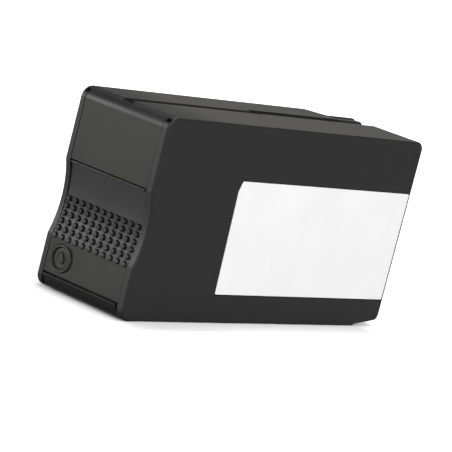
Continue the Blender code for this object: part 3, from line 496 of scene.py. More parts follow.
def rounded_corners(corners, radius, steps=6):
    """Replace each corner by an arc that touches both its sides, as a row of (y, z) points."""
    ahead = edge_directions(corners)
    before = np.roll(ahead, 1, axis=0)
    sine = before[:, 0] * ahead[:, 1] - before[:, 1] * ahead[:, 0]
    turn = np.arctan2(sine, (before * ahead).sum(axis=1))
    reach = radius * np.tan(turn / 2)
    inwards = np.stack([-before[:, 1], before[:, 0]], axis=1)
    centre = corners - before * reach[:, None] + inwards * radius
    share = turn[:, None] * np.linspace(0, 1, steps + 1)
    swing = np.sin(share)[..., None] * before[:, None] - np.cos(share)[..., None] * inwards[:, None]
    return (centre[:, None] + radius * swing).reshape(-1, 2)


print("label in mm:", [round(size / MM, 1) for size in (LABEL_REAR - LABEL_FRONT, LABEL_TOP - LABEL_BOTTOM)])

# %% [markdown]
# ### The two half shells
#
# The near shell carries the label, six tenths of the top and a lip that enters the far shell. The far
# shell's rear top corner is walled in and cut away again, which leaves the notch for the chip.

# %% Near shell
EDGE_RADIUS = 0.1 * MM

near_shell = half_shell("near_shell_skin", rounded_side(1) + [
    (SEAM_X + FIT_GAP / 2, 0.0),
    (SEAM_X + FIT_GAP / 2, LIP_INSET),
    (SEAM_X - LIP_LENGTH, LIP_INSET),
    (SEAM_X - LIP_LENGTH, LIP_INSET + LIP_WALL),
    (SEAM_X + LIP_ROOT - LIP_WALL, LIP_INSET + LIP_WALL),
    (SEAM_X + LIP_ROOT, WALL),
    (WIDTH / 2 - WALL, WALL),
])
recess_outline = rounded_corners(grown(label_corners(), FIT_GAP), RECESS_CORNER_RADIUS)
recess = prism_along_x("recess_tool", recess_outline, label_low.x - FIT_GAP, WIDTH / 2 + OVER)
carve(near_shell, cut=[
    seam_groove(), guide_slot(), panel_pocket(), rear_window(), gasket_seat(), recess,
    rim_relief(PANEL_HIGH_X - FIT_GAP, WIDTH / 2 - SIDE_EDGE_RADIUS / 2), seam_relief(),
    *pin_holes(PIN_NEAR_X),
])
round_edges(near_shell, EDGE_RADIUS)
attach(near_shell, "cartridge")
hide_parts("near_shell")


# %% Far shell with the chip notch
def wall_seat(node):
    """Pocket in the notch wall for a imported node, larger than the node by the fit gap."""
    low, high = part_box(node)
    start = (NOTCH_X - OVER, low.y - FIT_GAP, low.z - FIT_GAP)
    return block(node + "_seat_tool", start, (high.x + FIT_GAP, high.y + FIT_GAP, high.z + FIT_GAP))


far_shell = half_shell("far_shell_skin", rounded_side(-1) + [
    (SEAM_X - FIT_GAP / 2, 0.0),
    (SEAM_X - FIT_GAP / 2, WALL),
    (-WIDTH / 2 + WALL, WALL),
])
notch_walls = block(
    "notch_walls_tool",
    (-WIDTH / 2 + WALL / 2, NOTCH_Y - NOTCH_RAMP - NOTCH_WALL, NOTCH_FLOOR - WALL),
    (NOTCH_X + NOTCH_WALL, REAR - WALL / 2, HEIGHT - WALL / 2),
)
notch_width = NOTCH_X + WIDTH / 2
notch_plan = [
    (-WIDTH / 2 - OVER, NOTCH_Y - NOTCH_RAMP - OVER * NOTCH_RAMP / notch_width),
    (NOTCH_X, NOTCH_Y),
    (NOTCH_X, REAR + OVER),
    (-WIDTH / 2 - OVER, REAR + OVER),
]
notch = loft("notch_tool", np.array([[(x, y, z) for x, y in notch_plan] for z in (NOTCH_FLOOR, TOP)]))
wide_x = SLOT_NEAR_X - SLOT_REAR_WIDTH
wide_slot = block("wide_slot_tool", (wide_x, NOTCH_Y, HEIGHT - SLOT_DEPTH),
                  (SLOT_NEAR_X - SLOT_WIDTH + OVER, REAR + OVER, TOP))
top_step = block("top_step_tool", (NOTCH_X + RIB_WIDTH, NOTCH_Y, HEIGHT - STEP_DEPTH),
                 (wide_x + OVER, REAR + OVER, TOP))
carve(far_shell, join=[notch_walls], cut=[
    notch, wall_seat("chip_board"), wall_seat("chip_cover"), guide_slot(), wide_slot, top_step,
    panel_pocket(), rear_window(), gasket_seat(),
    rim_relief(-WIDTH / 2 + SIDE_EDGE_RADIUS, PANEL_LOW_X + FIT_GAP),
    *pin_holes(PIN_FAR_X),
])
round_edges(far_shell, EDGE_RADIUS)
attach(far_shell, "cartridge")
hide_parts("far_shell")

# %% [markdown]
# ## Grip panel
#
# The panel is one moulding: a section swept along X between the two rims, with sixty-six studs to grip
# and a raised ring standing on it. Each stud has a flat tip, a rounded shoulder, a tapered wall and a
# narrow moat at its foot, which stays dark and draws the stud's outline. Booleans of so many round
# studs on a curved face would leave slivers. So the sweep is a grid of columns and rows with a
# rectangular gap wherever something stands up, and a patch of rings fills each gap. The patch starts
# at a centre, follows the stud's own shape, and ends on the very points of the gap's edge, so the skin
# stays closed.

# %% Columns, rows and the section of the panel
PEG_COLUMNS, PEG_ROWS = 11, 6
PEG_PITCH_X, PEG_PITCH_Z = 2.72 * MM, 2.1 * MM
PEG_LOWEST_Z = SCOOP_BOTTOM + 0.2 * MM
PEG_ROOT_RADIUS = 0.74 * MM
PEG_TIP_RADIUS = 0.68 * MM
PEG_HEIGHT = 0.66 * MM
PEG_LEAN = 0.4
PEG_SHOULDER = 0.05 * MM
SHOULDER_ANGLES = (90, 67.5, 45, 22.5, 5)
MOAT_WIDTH = 0.19 * MM
MOAT_DEPTH = 0.32 * MM
MOAT_DRAFT = 0.02 * MM
CELL_STEPS = 8
SIDE_STRIP = 0.15 * MM
NEAR_GAP, FAR_GAP, TOP_GAP = 0.01 * MM, 0.2 * MM, 0.02 * MM
PANEL_THICKNESS = PANEL_SEAT - FIT_GAP
PANEL_BACK = FRONT + PANEL_THICKNESS
UPPER_GROOVE_Z = SCOOP_TOP + 0.5 * MM
UPPER_GROOVE_HEIGHT = 0.5 * MM
UPPER_GROOVE_DEPTH = 0.9 * MM
BEAD_RADIUS = 0.3 * MM
GROOVE_TIP = 0.06 * MM
BEAD_SINK = 0.3 * MM
CREASE_HEIGHT = 0.14 * MM
CREASE_DEPTH = 0.4 * MM
GRIP_SINK = 0.6 * MM
GRIP_LEVEL_Z = SCOOP_BOTTOM + 4.2 * MM
LOWER_GROOVE_Z = 4.5 * MM
LOWER_GROOVE_HEIGHT = 0.62 * MM
LOWER_GROOVE_DEPTH = 1.15 * MM
LOWER_LIP_HEIGHT = 0.42 * MM
CHAMFER_END_Z = 0.75 * MM
MARK_LOW_Z = 4.9 * MM
MARK_STEPS = 24
MARK_CELLS = 4
PIN_BLOCK = 2.2 * MM

middle_x = (PANEL_LOW_X + PANEL_HIGH_X) / 2
peg_x = middle_x + (np.arange(PEG_COLUMNS) - (PEG_COLUMNS - 1) / 2) * PEG_PITCH_X
peg_z = PEG_LOWEST_Z + np.arange(PEG_ROWS) * PEG_PITCH_Z
panel_far_x, panel_near_x = PANEL_LOW_X + FAR_GAP, PANEL_HIGH_X - NEAR_GAP
cell_x = np.clip(middle_x + (np.arange(PEG_COLUMNS + 1) - PEG_COLUMNS / 2) * PEG_PITCH_X,
                 panel_far_x + SIDE_STRIP, panel_near_x - SIDE_STRIP)
cell_z = np.append(peg_z - PEG_PITCH_Z / 2, peg_z[-1] + PEG_PITCH_Z / 2)
cell_columns = [np.linspace(a, b, CELL_STEPS, endpoint=False) for a, b in zip(cell_x, cell_x[1:])]
columns = np.concatenate([[panel_far_x], *cell_columns, [cell_x[-1], panel_near_x]])


def grip_depth(z):
    """Scoop depth, plus a sink behind the rims that grows evenly from GRIP_LEVEL_Z up to the groove."""
    return scoop(z) + GRIP_SINK * np.clip((z - GRIP_LEVEL_Z) / (UPPER_GROOVE_Z - GRIP_LEVEL_Z), 0, 1)


def grip_line(start, end, steps):
    """Points at even heights on the gripped face."""
    z = np.linspace(start, end, steps + 1)
    return np.stack([FRONT + grip_depth(z), z], axis=1)


def straight(y, start, end, steps):
    """Points at even heights on an upright line."""
    z = np.linspace(start, end, steps + 1)
    return np.stack([np.full(steps + 1, y), z], axis=1)


bead_top = UPPER_GROOVE_Z - UPPER_GROOVE_HEIGHT
bead_low = bead_top - 2 * BEAD_RADIUS
crease_low = bead_low - CREASE_HEIGHT
lip_top = LOWER_GROOVE_Z - LOWER_GROOVE_HEIGHT
face_start = math.degrees(math.acos((PANEL_SEAT - TOP_GAP - FRONT_RADIUS) / FRONT_RADIUS))
stretches = {
    "corner": arc(FRONT + FRONT_RADIUS, HEIGHT - FRONT_RADIUS, FRONT_RADIUS, face_start, 180, 14),
    "groove": [(FRONT, UPPER_GROOVE_Z), (FRONT + UPPER_GROOVE_DEPTH, bead_top + GROOVE_TIP),
               (FRONT + UPPER_GROOVE_DEPTH, bead_top)],
    "bead": arc(FRONT + BEAD_SINK + BEAD_RADIUS, bead_top - BEAD_RADIUS, BEAD_RADIUS, 90, 270, 8),
    "crease": [(FRONT + grip_depth(bead_low) + CREASE_DEPTH, bead_low),
               (FRONT + grip_depth(bead_low) + CREASE_DEPTH, crease_low)],
    "smooth": grip_line(crease_low, cell_z[-1], 18)[:-1],
    "pegs": grip_line(cell_z[-1], cell_z[0], PEG_ROWS * CELL_STEPS)[:-1],
    "mark": straight(FRONT, cell_z[0], MARK_LOW_Z, MARK_STEPS),
    "lower groove": [(FRONT, LOWER_GROOVE_Z), (FRONT + LOWER_GROOVE_DEPTH, lip_top + GROOVE_TIP),
                     (FRONT + LOWER_GROOVE_DEPTH, lip_top), (FRONT, lip_top),
                     (FRONT, lip_top - LOWER_LIP_HEIGHT), (PANEL_BACK, CHAMFER_END_Z)],
    "low pins": straight(PANEL_BACK, PIN_HEIGHTS[0] - PIN_BLOCK, PIN_HEIGHTS[0] + PIN_BLOCK, CELL_STEPS),
    "back": scoop_line(PANEL_BACK, SCOOP_BOTTOM, SCOOP_TOP),
    "high pins": straight(PANEL_BACK, PIN_HEIGHTS[1] - PIN_BLOCK, PIN_HEIGHTS[1] + PIN_BLOCK, CELL_STEPS),
}
first_row = dict(zip(stretches, np.cumsum([0] + [len(rows) for rows in stretches.values()])))
section = np.concatenate(list(stretches.values()))
print("panel grid:", len(columns), "columns,", len(section), "rows")

# %% [markdown]
# The sweep is that section at every column. Faces inside the rectangle of a stud, of the raised ring or
# of a locating pin on the back are left out of it.

# %% The sweep with its gaps
sweep = np.empty((len(columns), len(section), 3))
sweep[..., 0] = columns[:, None]
sweep[..., 1:] = section
quads = grid_quads(len(columns), len(section)).reshape(len(columns) - 1, len(section), 4)
kept = np.ones(quads.shape[:2], bool)
last = len(columns) - 2


def open_gap(first_column, last_column, row, steps):
    """Leave out the faces between two columns, over a number of rows."""
    kept[first_column:last_column, row:row + steps] = False


def pin_columns(x):
    """The first column of the two cells that a locating pin stands in."""
    return 1 + CELL_STEPS * (int(np.searchsorted(cell_x, x - PIN_RADIUS)) - 1)


open_gap(1, last, first_row["pegs"], PEG_ROWS * CELL_STEPS)
open_gap(1, 1 + MARK_CELLS * CELL_STEPS, first_row["mark"], MARK_STEPS)
for pin_x in (PIN_NEAR_X, PIN_FAR_X):
    for rows in ("low pins", "high pins"):
        first = pin_columns(pin_x)
        open_gap(first, first + 2 * CELL_STEPS, first_row[rows], CELL_STEPS)
print("faces left out for patches:", int((~kept).sum()))


# %% [markdown]
# ### Studs, raised ring and pins
#
# Every patch is a table of distances along rays from its centre, one row for each ring of points, with
# a height for each. Where two rings have almost the same distance and different heights, they make a
# wall. The rings on a flat stretch only divide it.

# %% Patches for the pegs
TIP_FILL = 0.6
OUTER_FILL = 0.45


def gap_rays(centre, across, up):
    """Unit rays from a centre to the points round a rectangular gap, and how long each is."""
    low, high = 0 * across[1:], 0 * up[1:]
    loop = np.concatenate([
        np.stack([across[:-1], low + up[0]], axis=1), np.stack([high + across[-1], up[:-1]], axis=1),
        np.stack([across[:0:-1], low + up[-1]], axis=1), np.stack([high + across[0], up[:0:-1]], axis=1),
    ])
    out = loop - np.array(centre)
    reach = np.linalg.norm(out, axis=1)
    return out / reach[:, None], reach


def peg_patch(x, z, across, up):
    """Rings of one peg: tip, shoulder arc, wall, the narrow moat at its foot and the panel round it.

    The root follows the panel and the tip leans with it for the most part, so a ring's depth is the
    panel's depth at its own height, mixed with that at the peg's centre the higher up the peg it lies.
    """
    ray, reach = gap_rays((x, z), across, up)
    peg_height = min(PEG_HEIGHT, grip_depth(z - PEG_LEAN * PEG_TIP_RADIUS) + FRONT - panel_low.y)
    shoulder = np.radians(SHOULDER_ANGLES)[:, None]
    ones = np.ones_like(reach)
    flat = PEG_TIP_RADIUS - PEG_SHOULDER
    outside = PEG_ROOT_RADIUS + MOAT_WIDTH
    radius = np.concatenate([
        [0 * ones, TIP_FILL * flat * ones],
        (flat + PEG_SHOULDER * np.cos(shoulder)) * ones,
        [PEG_ROOT_RADIUS * ones, (outside - MOAT_DRAFT) * ones, outside * ones],
        [outside + OUTER_FILL * (reach - outside), reach],
    ])
    height = np.concatenate([
        [peg_height * ones, peg_height * ones],
        (peg_height - PEG_SHOULDER * (1 - np.sin(shoulder))) * ones,
        [-MOAT_DEPTH * ones, -MOAT_DEPTH * ones, 0 * ones],
        [0 * ones, 0 * ones],
    ])
    ring_x, ring_z = x + radius * ray[:, 0], z + radius * ray[:, 1]
    share = (1 - PEG_LEAN) * np.clip(height / peg_height, 0, 1)
    depth = grip_depth(ring_z) * (1 - share) + grip_depth(z) * share
    return np.stack([ring_x, FRONT + depth - height, ring_z], axis=-1)


# %% Patch for the raised ring
RING_X = PANEL_LOW_X + 5.75 * MM
RING_Z = 9.4 * MM
RING_OUTER, RING_INNER = 3.85 * MM, 3.25 * MM
RING_HEIGHT = 0.5 * MM
RING_DRAFT = 0.04 * MM
RING_MOAT = 0.26 * MM
DROP_RADIUS = 1.1 * MM
DROP_HEIGHT = 0.35 * MM
DROP_SINK = 0.35 * MM
DROP_TIP_RISE = 0.9 * MM
DROP_TIP_SHARE = 0.5
DROP_MOAT = 1.15
DROP_FILL = 0.55
RING_FILL = 0.5


def mark_patch():
    """Plain drop in a raised ring. The drop is a circle whose upper half is narrowed and drawn upwards,
    both by the cube of the sine of the angle."""
    across = columns[1:2 + MARK_CELLS * CELL_STEPS]
    ray, reach = gap_rays((RING_X, RING_Z), across, np.linspace(MARK_LOW_Z, cell_z[0], MARK_STEPS + 1))
    lift = np.clip(ray[:, 1], 0, 1)**3
    drop = DROP_RADIUS * ray * np.stack([1 - DROP_TIP_SHARE * lift, np.ones_like(lift)], axis=1)
    drop[:, 1] += DROP_TIP_RISE * lift - DROP_SINK
    rings = [
        (0 * drop, DROP_HEIGHT),
        (DROP_FILL * drop, DROP_HEIGHT),
        (drop, DROP_HEIGHT),
        (drop, -MOAT_DEPTH),
        (DROP_MOAT * drop, -MOAT_DEPTH),
        (DROP_MOAT * drop, 0.0),
    ]
    for radius, height in (
        (TIP_FILL * RING_OUTER, 0.0),
        (RING_INNER - RING_MOAT, 0.0),
        (RING_INNER - RING_MOAT, -MOAT_DEPTH),
        (RING_INNER, -MOAT_DEPTH),
        (RING_INNER + RING_DRAFT, RING_HEIGHT),
        (RING_OUTER - RING_DRAFT, RING_HEIGHT),
        (RING_OUTER, -MOAT_DEPTH),
        (RING_OUTER + RING_MOAT, -MOAT_DEPTH),
        (RING_OUTER + RING_MOAT, 0.0),
    ):
        rings.append((radius * ray, height))
    rings.append((ray * (RING_FILL * RING_OUTER + (1 - RING_FILL) * reach)[:, None], 0.0))
    rings.append((ray * reach[:, None], 0.0))
    flat = np.array([ring for ring, height in rings])
    height = np.broadcast_to(np.array([height for ring, height in rings])[:, None], flat.shape[:2])
    return np.stack([RING_X + flat[..., 0], FRONT - height, RING_Z + flat[..., 1]], axis=-1)


# %% Patches for the pins, and the whole skin
PIN_CHAMFER = PIN_RADIUS / 5


def pin_patch(x, z):
    """Round pin with a chamfered tip, which stands on the back and points into the cartridge."""
    first = pin_columns(x)
    across = columns[first:first + 2 * CELL_STEPS + 1]
    ray, reach = gap_rays((x, z), across, np.linspace(z - PIN_BLOCK, z + PIN_BLOCK, CELL_STEPS + 1))
    ones = np.ones_like(reach)
    tip = PIN_RADIUS - PIN_CHAMFER
    radius = np.array([0 * ones, tip * ones, PIN_RADIUS * ones, PIN_RADIUS * ones, reach])
    height = np.array([PIN_LENGTH, PIN_LENGTH, PIN_LENGTH - PIN_CHAMFER, 0, 0])[:, None] * ones
    return np.stack([x + radius * ray[:, 0], PANEL_BACK + height, z + radius * ray[:, 1]], axis=-1)


patches = [mark_patch()]
patches += [peg_patch(x, z, columns[1 + i * CELL_STEPS:2 + (i + 1) * CELL_STEPS],
                      np.linspace(cell_z[j], cell_z[j + 1], CELL_STEPS + 1))
            for i, x in enumerate(peg_x) for j, z in enumerate(peg_z)]
patches += [pin_patch(x, z) for x in (PIN_NEAR_X, PIN_FAR_X) for z in PIN_HEIGHTS]

count = len(columns) * len(section)
points, faces = [sweep.reshape(-1, 3)], quads[kept].tolist()
faces += [list(range(len(section))), list(range(count - 1, count - len(section) - 1, -1))]
for patch in patches:
    faces += (grid_quads(*patch.shape[:2]) + count).tolist()
    points.append(patch.reshape(-1, 3))
    count += points[-1].shape[0]
grip_panel = make_piece("grip_panel_skin", np.concatenate(points), faces)
print("panel skin:", len(patches), "patches,", count, "points,", open_edges(grip_panel), "open edges")


# %% [markdown]
# Both grooves run round the panel's near end and out to its side. A box cut off that end at each
# groove makes the return.

# %% Groove returns and edges of the panel
RETURN_WIDTH = 0.75 * MM
PANEL_EDGE_RADIUS = 0.04 * MM


def groove_return(name, depth, low_z, high_z):
    """Box over the near end of the panel, as deep as the groove that it continues."""
    low = (panel_near_x - RETURN_WIDTH, FRONT - OVER, low_z)
    return block(name, low, (panel_near_x + OVER, FRONT + depth, high_z))


carve(grip_panel, cut=[
    groove_return("upper_return_tool", UPPER_GROOVE_DEPTH, crease_low - CREASE_HEIGHT, UPPER_GROOVE_Z),
    groove_return("lower_return_tool", LOWER_GROOVE_DEPTH, -OVER, LOWER_GROOVE_Z),
])
round_edges(grip_panel, PANEL_EDGE_RADIUS, merge_flat=False)
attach(grip_panel, "cartridge")
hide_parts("grip_panel")

# %% [markdown]
# ## Label
#
# The label is a plain sheet of coated white paper, die-cut with slightly rounded corners. A thin plate
# with the finest of edge radii is enough, because its life comes from the paper's finish.

# %% Label sheet
LABEL_EDGE_RADIUS = 0.03 * MM

label_outline = rounded_corners(label_corners(), LABEL_CORNER_RADIUS)
label = prism_along_x("label_sheet", label_outline, label_low.x, label_high.x)
round_edges(label, LABEL_EDGE_RADIUS)
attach(label, "cartridge")
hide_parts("label")

# %% [markdown]
# ## Rear end
#
# The outlet chassis fills the window in the rear wall. Two bores open in it: the ink outlet below,
# where a ring holds a rubber septum that the printer's needle passes, and the air inlet above, built
# the same way but smaller. A block with two round bosses and two stepped bores is quickest made as on
# a lathe: each boss and each bore is a profile turned about its axis, then joined or cut.

# %% Outlet chassis
chassis_low, chassis_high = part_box("outlet_chassis")
septum_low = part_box("outlet_septum")[0]
retainer_low, retainer_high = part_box("outlet_retainer")
air_septum_low, air_septum_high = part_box("air_septum")
air_retainer_low, air_retainer_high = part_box("air_retainer")
spring_low, spring_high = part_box("outlet_spring")
membrane_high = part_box("vent_membrane")[1]
OUTLET_Z = (retainer_low.z + retainer_high.z) / 2
AIR_Z = (air_retainer_low.z + air_retainer_high.z) / 2
FLANGE_THICKNESS = 1.5 * MM
GASKET_THICKNESS = 0.6 * MM
FLANGE_FACE_Y = REAR - WALL + RECESS_DEPTH - 2 * FIT_GAP - GASKET_THICKNESS
OUTLET_BOSS_RADIUS = 6.5 * MM
AIR_BOSS_RADIUS = 4.5 * MM
AIR_BOSS_LENGTH = 6.5 * MM
OUTLET_SEAT_RADIUS = retainer_high.x + FIT_GAP
AIR_SEAT_RADIUS = air_retainer_high.x + FIT_GAP
OUTLET_SEAT_Y = septum_low.y - FIT_GAP
AIR_SEAT_Y = air_septum_low.y - FIT_GAP
VALVE_BORE_RADIUS = 2.35 * MM
VALVE_BORE_LENGTH = 9.0 * MM
VALVE_BORE_END = OUTLET_SEAT_Y - VALVE_BORE_LENGTH
INLET_RADIUS = 1.2 * MM
INLET_LENGTH = 1.0 * MM
SOCKET_END = VALVE_BORE_END - INLET_LENGTH
SOCKET_RADIUS = 3.8 * MM
AIR_BORE_RADIUS = 1.2 * MM

root = FLANGE_FACE_Y - FLANGE_THICKNESS / 2
reach = WINDOW_HALF_WIDTH - FIT_GAP
air_boss_end = FLANGE_FACE_Y - FLANGE_THICKNESS - AIR_BOSS_LENGTH
chassis = block("outlet_chassis_body", (-reach, root, WINDOW_BOTTOM + FIT_GAP),
                (reach, chassis_high.y, WINDOW_TOP - FIT_GAP))
outlet_bore = [
    (0, chassis_low.y - OVER), (SOCKET_RADIUS, chassis_low.y - OVER), (SOCKET_RADIUS, SOCKET_END),
    (INLET_RADIUS, SOCKET_END), (INLET_RADIUS, VALVE_BORE_END), (VALVE_BORE_RADIUS, VALVE_BORE_END),
    (VALVE_BORE_RADIUS, OUTLET_SEAT_Y), (OUTLET_SEAT_RADIUS, OUTLET_SEAT_Y),
    (OUTLET_SEAT_RADIUS, REAR + OVER), (0, REAR + OVER),
]
membrane_seat = membrane_high.y + FIT_GAP
air_bore = [
    (0, air_boss_end - OVER), (AIR_SEAT_RADIUS, air_boss_end - OVER), (AIR_SEAT_RADIUS, membrane_seat),
    (AIR_BORE_RADIUS, membrane_seat), (AIR_BORE_RADIUS, AIR_SEAT_Y), (AIR_SEAT_RADIUS, AIR_SEAT_Y),
    (AIR_SEAT_RADIUS, REAR + OVER), (0, REAR + OVER),
]
outlet_boss = cylinder("boss_tool", OUTLET_BOSS_RADIUS, chassis_low.y, root, 0, OUTLET_Z)
air_boss = cylinder("boss_tool", AIR_BOSS_RADIUS, air_boss_end, root, 0, AIR_Z)
flange = block("flange_tool", (chassis_low.x, FLANGE_FACE_Y - FLANGE_THICKNESS, chassis_low.z),
               (chassis_high.x, FLANGE_FACE_Y, chassis_high.z))
carve(chassis, join=[flange, outlet_boss, air_boss],
      cut=[turned("bore_tool", outlet_bore, 0, OUTLET_Z), turned("bore_tool", air_bore, 0, AIR_Z)])
round_edges(chassis, EDGE_RADIUS)
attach(chassis, "cartridge")
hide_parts("outlet_chassis")

# %% [markdown]
# A septum is a rubber disc that closes on the needle, and a plastic ring holds it in its seat. A steel
# ball waits behind the outlet's septum. All of them are round, so each one is a profile turned about
# its bore's axis. Rings get a rectangle with rounded corners, and the ball gets half a circle.


# %% Septa, retaining rings and ball
def ring(name, node, bore, centre_z, corner):
    """Ring in the place of a CAD node: its section is a rectangle with rounded corners."""
    low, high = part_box(node)
    section = np.array([(bore, low.y), (high.x, low.y), (high.x, high.y), (bore, high.y)])
    return turned(name, rounded_corners(section, corner, 4), 0, centre_z, steps=72, closed=True)


DIMPLE_RADIUS = 0.9 * MM
SEPTUM_EDGE_RADIUS = 0.15 * MM

outlet_septum = ring("outlet_septum_ring", "outlet_septum", bore=1.1 * MM, centre_z=OUTLET_Z, corner=0.3 * MM)
outlet_retainer = ring("outlet_retainer_ring", "outlet_retainer",
                       bore=1.8 * MM, centre_z=OUTLET_Z, corner=0.25 * MM)
air_retainer = ring("air_retainer_ring", "air_retainer", bore=1.5 * MM, centre_z=AIR_Z, corner=0.2 * MM)
dimple = np.linspace(DIMPLE_RADIUS, 0, 10)
dimple_y = air_septum_high.y - (air_septum_high.y - air_septum_low.y) / 2 * (1 - (dimple / dimple[0])**2)
air_profile = [(0, air_septum_low.y), (air_septum_high.x, air_septum_low.y),
               (air_septum_high.x, air_septum_high.y), *zip(dimple, dimple_y)]
air_septum = turned("air_septum_disc", air_profile, 0, AIR_Z)
round_edges(air_septum, SEPTUM_EDGE_RADIUS, segments=3)

ball_low, ball_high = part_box("outlet_ball")
ball_radius = (ball_high.y - ball_low.y) / 2
swing = np.linspace(-math.pi / 2, math.pi / 2, 25)
ball_y = (ball_low.y + ball_high.y) / 2 + ball_radius * np.sin(swing)
ball_profile = np.stack([ball_radius * np.cos(swing), ball_y], axis=1)
ball_profile[[0, -1], 0] = 0
ball = turned("outlet_ball_ground", ball_profile, 0, OUTLET_Z, steps=48)
for piece, node, slot, body in (
    (outlet_septum, "outlet_septum", "rubber", "cartridge"),
    (outlet_retainer, "outlet_retainer", "natural", "cartridge"),
    (air_retainer, "air_retainer", "natural", "cartridge"),
    (air_septum, "air_septum", "rubber", "cartridge"),
    (ball, "outlet_ball", "steel", "valve_ball"),
):
    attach(piece, body)
    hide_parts(node)
print("ball:", round(2 * ball_radius / MM, 2), "mm across, outlet at z", round(OUTLET_Z / MM, 2))

# %% [markdown]
# A coil spring holds the ball against its septum. When the needle pushes the ball back, the spring
# shortens towards its seat in the bore by the ball's travel. A curve with a round bevel would draw the
# same wire, but a helix worked out as an array is a mesh at once, and can be squashed with the joint.


# %% Outlet spring
def coil(name, low, high, wire, turns, steps=32, sides=12):
    """Round wire on a helix about an axis along Y: at turn t its middle is at
    (R cos 2 pi t, y, R sin 2 pi t). The first and the last turn rise by little more than the wire
    and close the ends, and y rises evenly between them."""
    turn = np.linspace(0, turns, turns * steps + 1)[:, None]
    around = np.linspace(0, 2 * math.pi, sides, endpoint=False)
    length, closed = high.y - low.y - wire, 1.1 * wire
    rise = np.interp(turn, [0, 1, turns - 1, turns], [0, closed, length - closed, length])
    radius = (high.x - low.x - wire) / 2 + wire / 2 * np.cos(around)
    x = radius * np.cos(2 * math.pi * turn)
    y = low.y + wire / 2 + rise + wire / 2 * np.sin(around)
    z = OUTLET_Z + radius * np.sin(2 * math.pi * turn)
    return loft(name, np.stack(np.broadcast_arrays(x, y, z), axis=-1))


SPRING_WIRE = 0.4 * MM
SPRING_TURNS = 5

spring = coil("outlet_spring_coil", spring_low, spring_high, SPRING_WIRE, SPRING_TURNS)
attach(spring, "cartridge")
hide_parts("outlet_spring")
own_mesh(spring)

# %% [markdown]
# ## Chip
#
# The chip is a small circuit board with six gold pads, set in a seat on the notch wall. Board, pads and
# die cover are plates with rounded corners, each in the place of its CAD node. The stiff sheets on the
# ink bag are such plates too, so one function makes them all: an outline of the node's size, carried
# through its thickness and given its own corner and edge radius.


# %% Plates of the chip and the bag's stiffeners
def plate(name, node, corner, edge):
    """Plate in the place of a CAD node, across X: corner rounds its outline and edge its rims."""
    low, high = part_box(node)
    corners = np.array([(low.y, low.z), (high.y, low.z), (high.y, high.z), (low.y, high.z)])
    made = prism_along_x(name, rounded_corners(corners, corner), low.x, high.x)
    round_edges(made, edge)
    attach(made, "cartridge")
    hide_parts(node)
    return made


board = plate("chip_board_sheet", "chip_board", corner=0.5 * MM, edge=0.05 * MM)
die_cover = plate("chip_cover_drop", "chip_cover", corner=0.6 * MM, edge=0.25 * MM)
pads = [plate(f"chip_pad_{n}", f"chip_contact_{n}", corner=0.3 * MM, edge=0.04 * MM)
        for n in range(1, 7)]
stiffeners = [plate(f"stiffener_{side}", f"bag_stiffener_{side}", corner=3 * MM, edge=0.1 * MM) for side in ("near", "far")]

# %% [markdown]
# ## Ink bag
#
# The bag is two sheets of laminated foil welded flat along their edges and swollen apart by the ink.
# Its fullness is a product of two curves, one along Y and one along Z: flat in the middle, then a
# quarter ellipse down to the weld. Near the weld a filled bag puckers, so shallow folds run across
# the edge there, and they only take away from the full shape.

# %% Ink bag
bag_low, bag_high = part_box("ink_bag")
BAG_WELD = 0.4 * MM
BAG_WELD_WIDTH = 4.0 * MM
BAG_FLAT_SHARE = 0.5
BAG_FOLD_DEPTH = 0.5 * MM
BAG_FOLD_PITCH = 5.2 * MM
BAG_STEPS_Y, BAG_STEPS_Z = 90, 56
WANDER_Y, WANDER_LENGTH_Y = 1.7, 7 * MM
WANDER_Z, WANDER_LENGTH_Z = 1.3, 6 * MM


def swell(share):
    """1 up to the flat share, then sqrt(1 - t^2) down to 0, where t is how far share is beyond it."""
    over = np.clip((np.abs(share) - BAG_FLAT_SHARE) / (1 - BAG_FLAT_SHARE), 0, 1)
    return np.sqrt(1 - over**2)


def bag_line(half, steps):
    """Places across the bag, closer together towards the weld, with three more over the weld itself."""
    inner = (half - BAG_WELD_WIDTH) * np.sin(np.linspace(-math.pi / 2, math.pi / 2, steps))
    weld = np.linspace(0, BAG_WELD_WIDTH, 4)[1:]
    return np.concatenate([-half + BAG_WELD_WIDTH - weld[::-1], inner, half - BAG_WELD_WIDTH + weld])


def folds(place, wander, length):
    """Sine of the place over the pitch. A longer sine moves its phase, so the folds aren't even."""
    return np.sin(2 * math.pi * place / BAG_FOLD_PITCH + wander * np.sin(place / length))


bag_half = (bag_high - bag_low) / 2
bag_middle = (bag_high + bag_low) / 2
bag_y, bag_z = bag_line(bag_half.y, BAG_STEPS_Y), bag_line(bag_half.z, BAG_STEPS_Z)
grid_y, grid_z = np.meshgrid(bag_y, bag_z, indexing="ij")
across_y = np.clip(np.abs(grid_y) / (bag_half.y - BAG_WELD_WIDTH), 0, 1)
across_z = np.clip(np.abs(grid_z) / (bag_half.z - BAG_WELD_WIDTH), 0, 1)
full = swell(across_y) * swell(across_z)
fold = folds(grid_y, WANDER_Y, WANDER_LENGTH_Y) * across_z**3
fold += folds(grid_z, WANDER_Z, WANDER_LENGTH_Z) * across_y**3
swollen = (bag_half.x - BAG_WELD) * full - BAG_FOLD_DEPTH * (1 + fold) * full * (1 - full) * 2
half_width = BAG_WELD + np.clip(swollen, 0, None)
near_side = np.stack([half_width, grid_y, grid_z], axis=-1)
far_side = np.stack([-half_width, grid_y, grid_z], axis=-1)[:, ::-1]
ink_bag = loft("ink_bag_foil", np.concatenate([near_side, far_side], axis=1) + np.array(bag_middle))
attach(ink_bag, "cartridge")
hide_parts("ink_bag")
print("ink bag:", round(2 * float(half_width.max()) / MM, 1), "mm thick,", open_edges(ink_bag), "open edges")

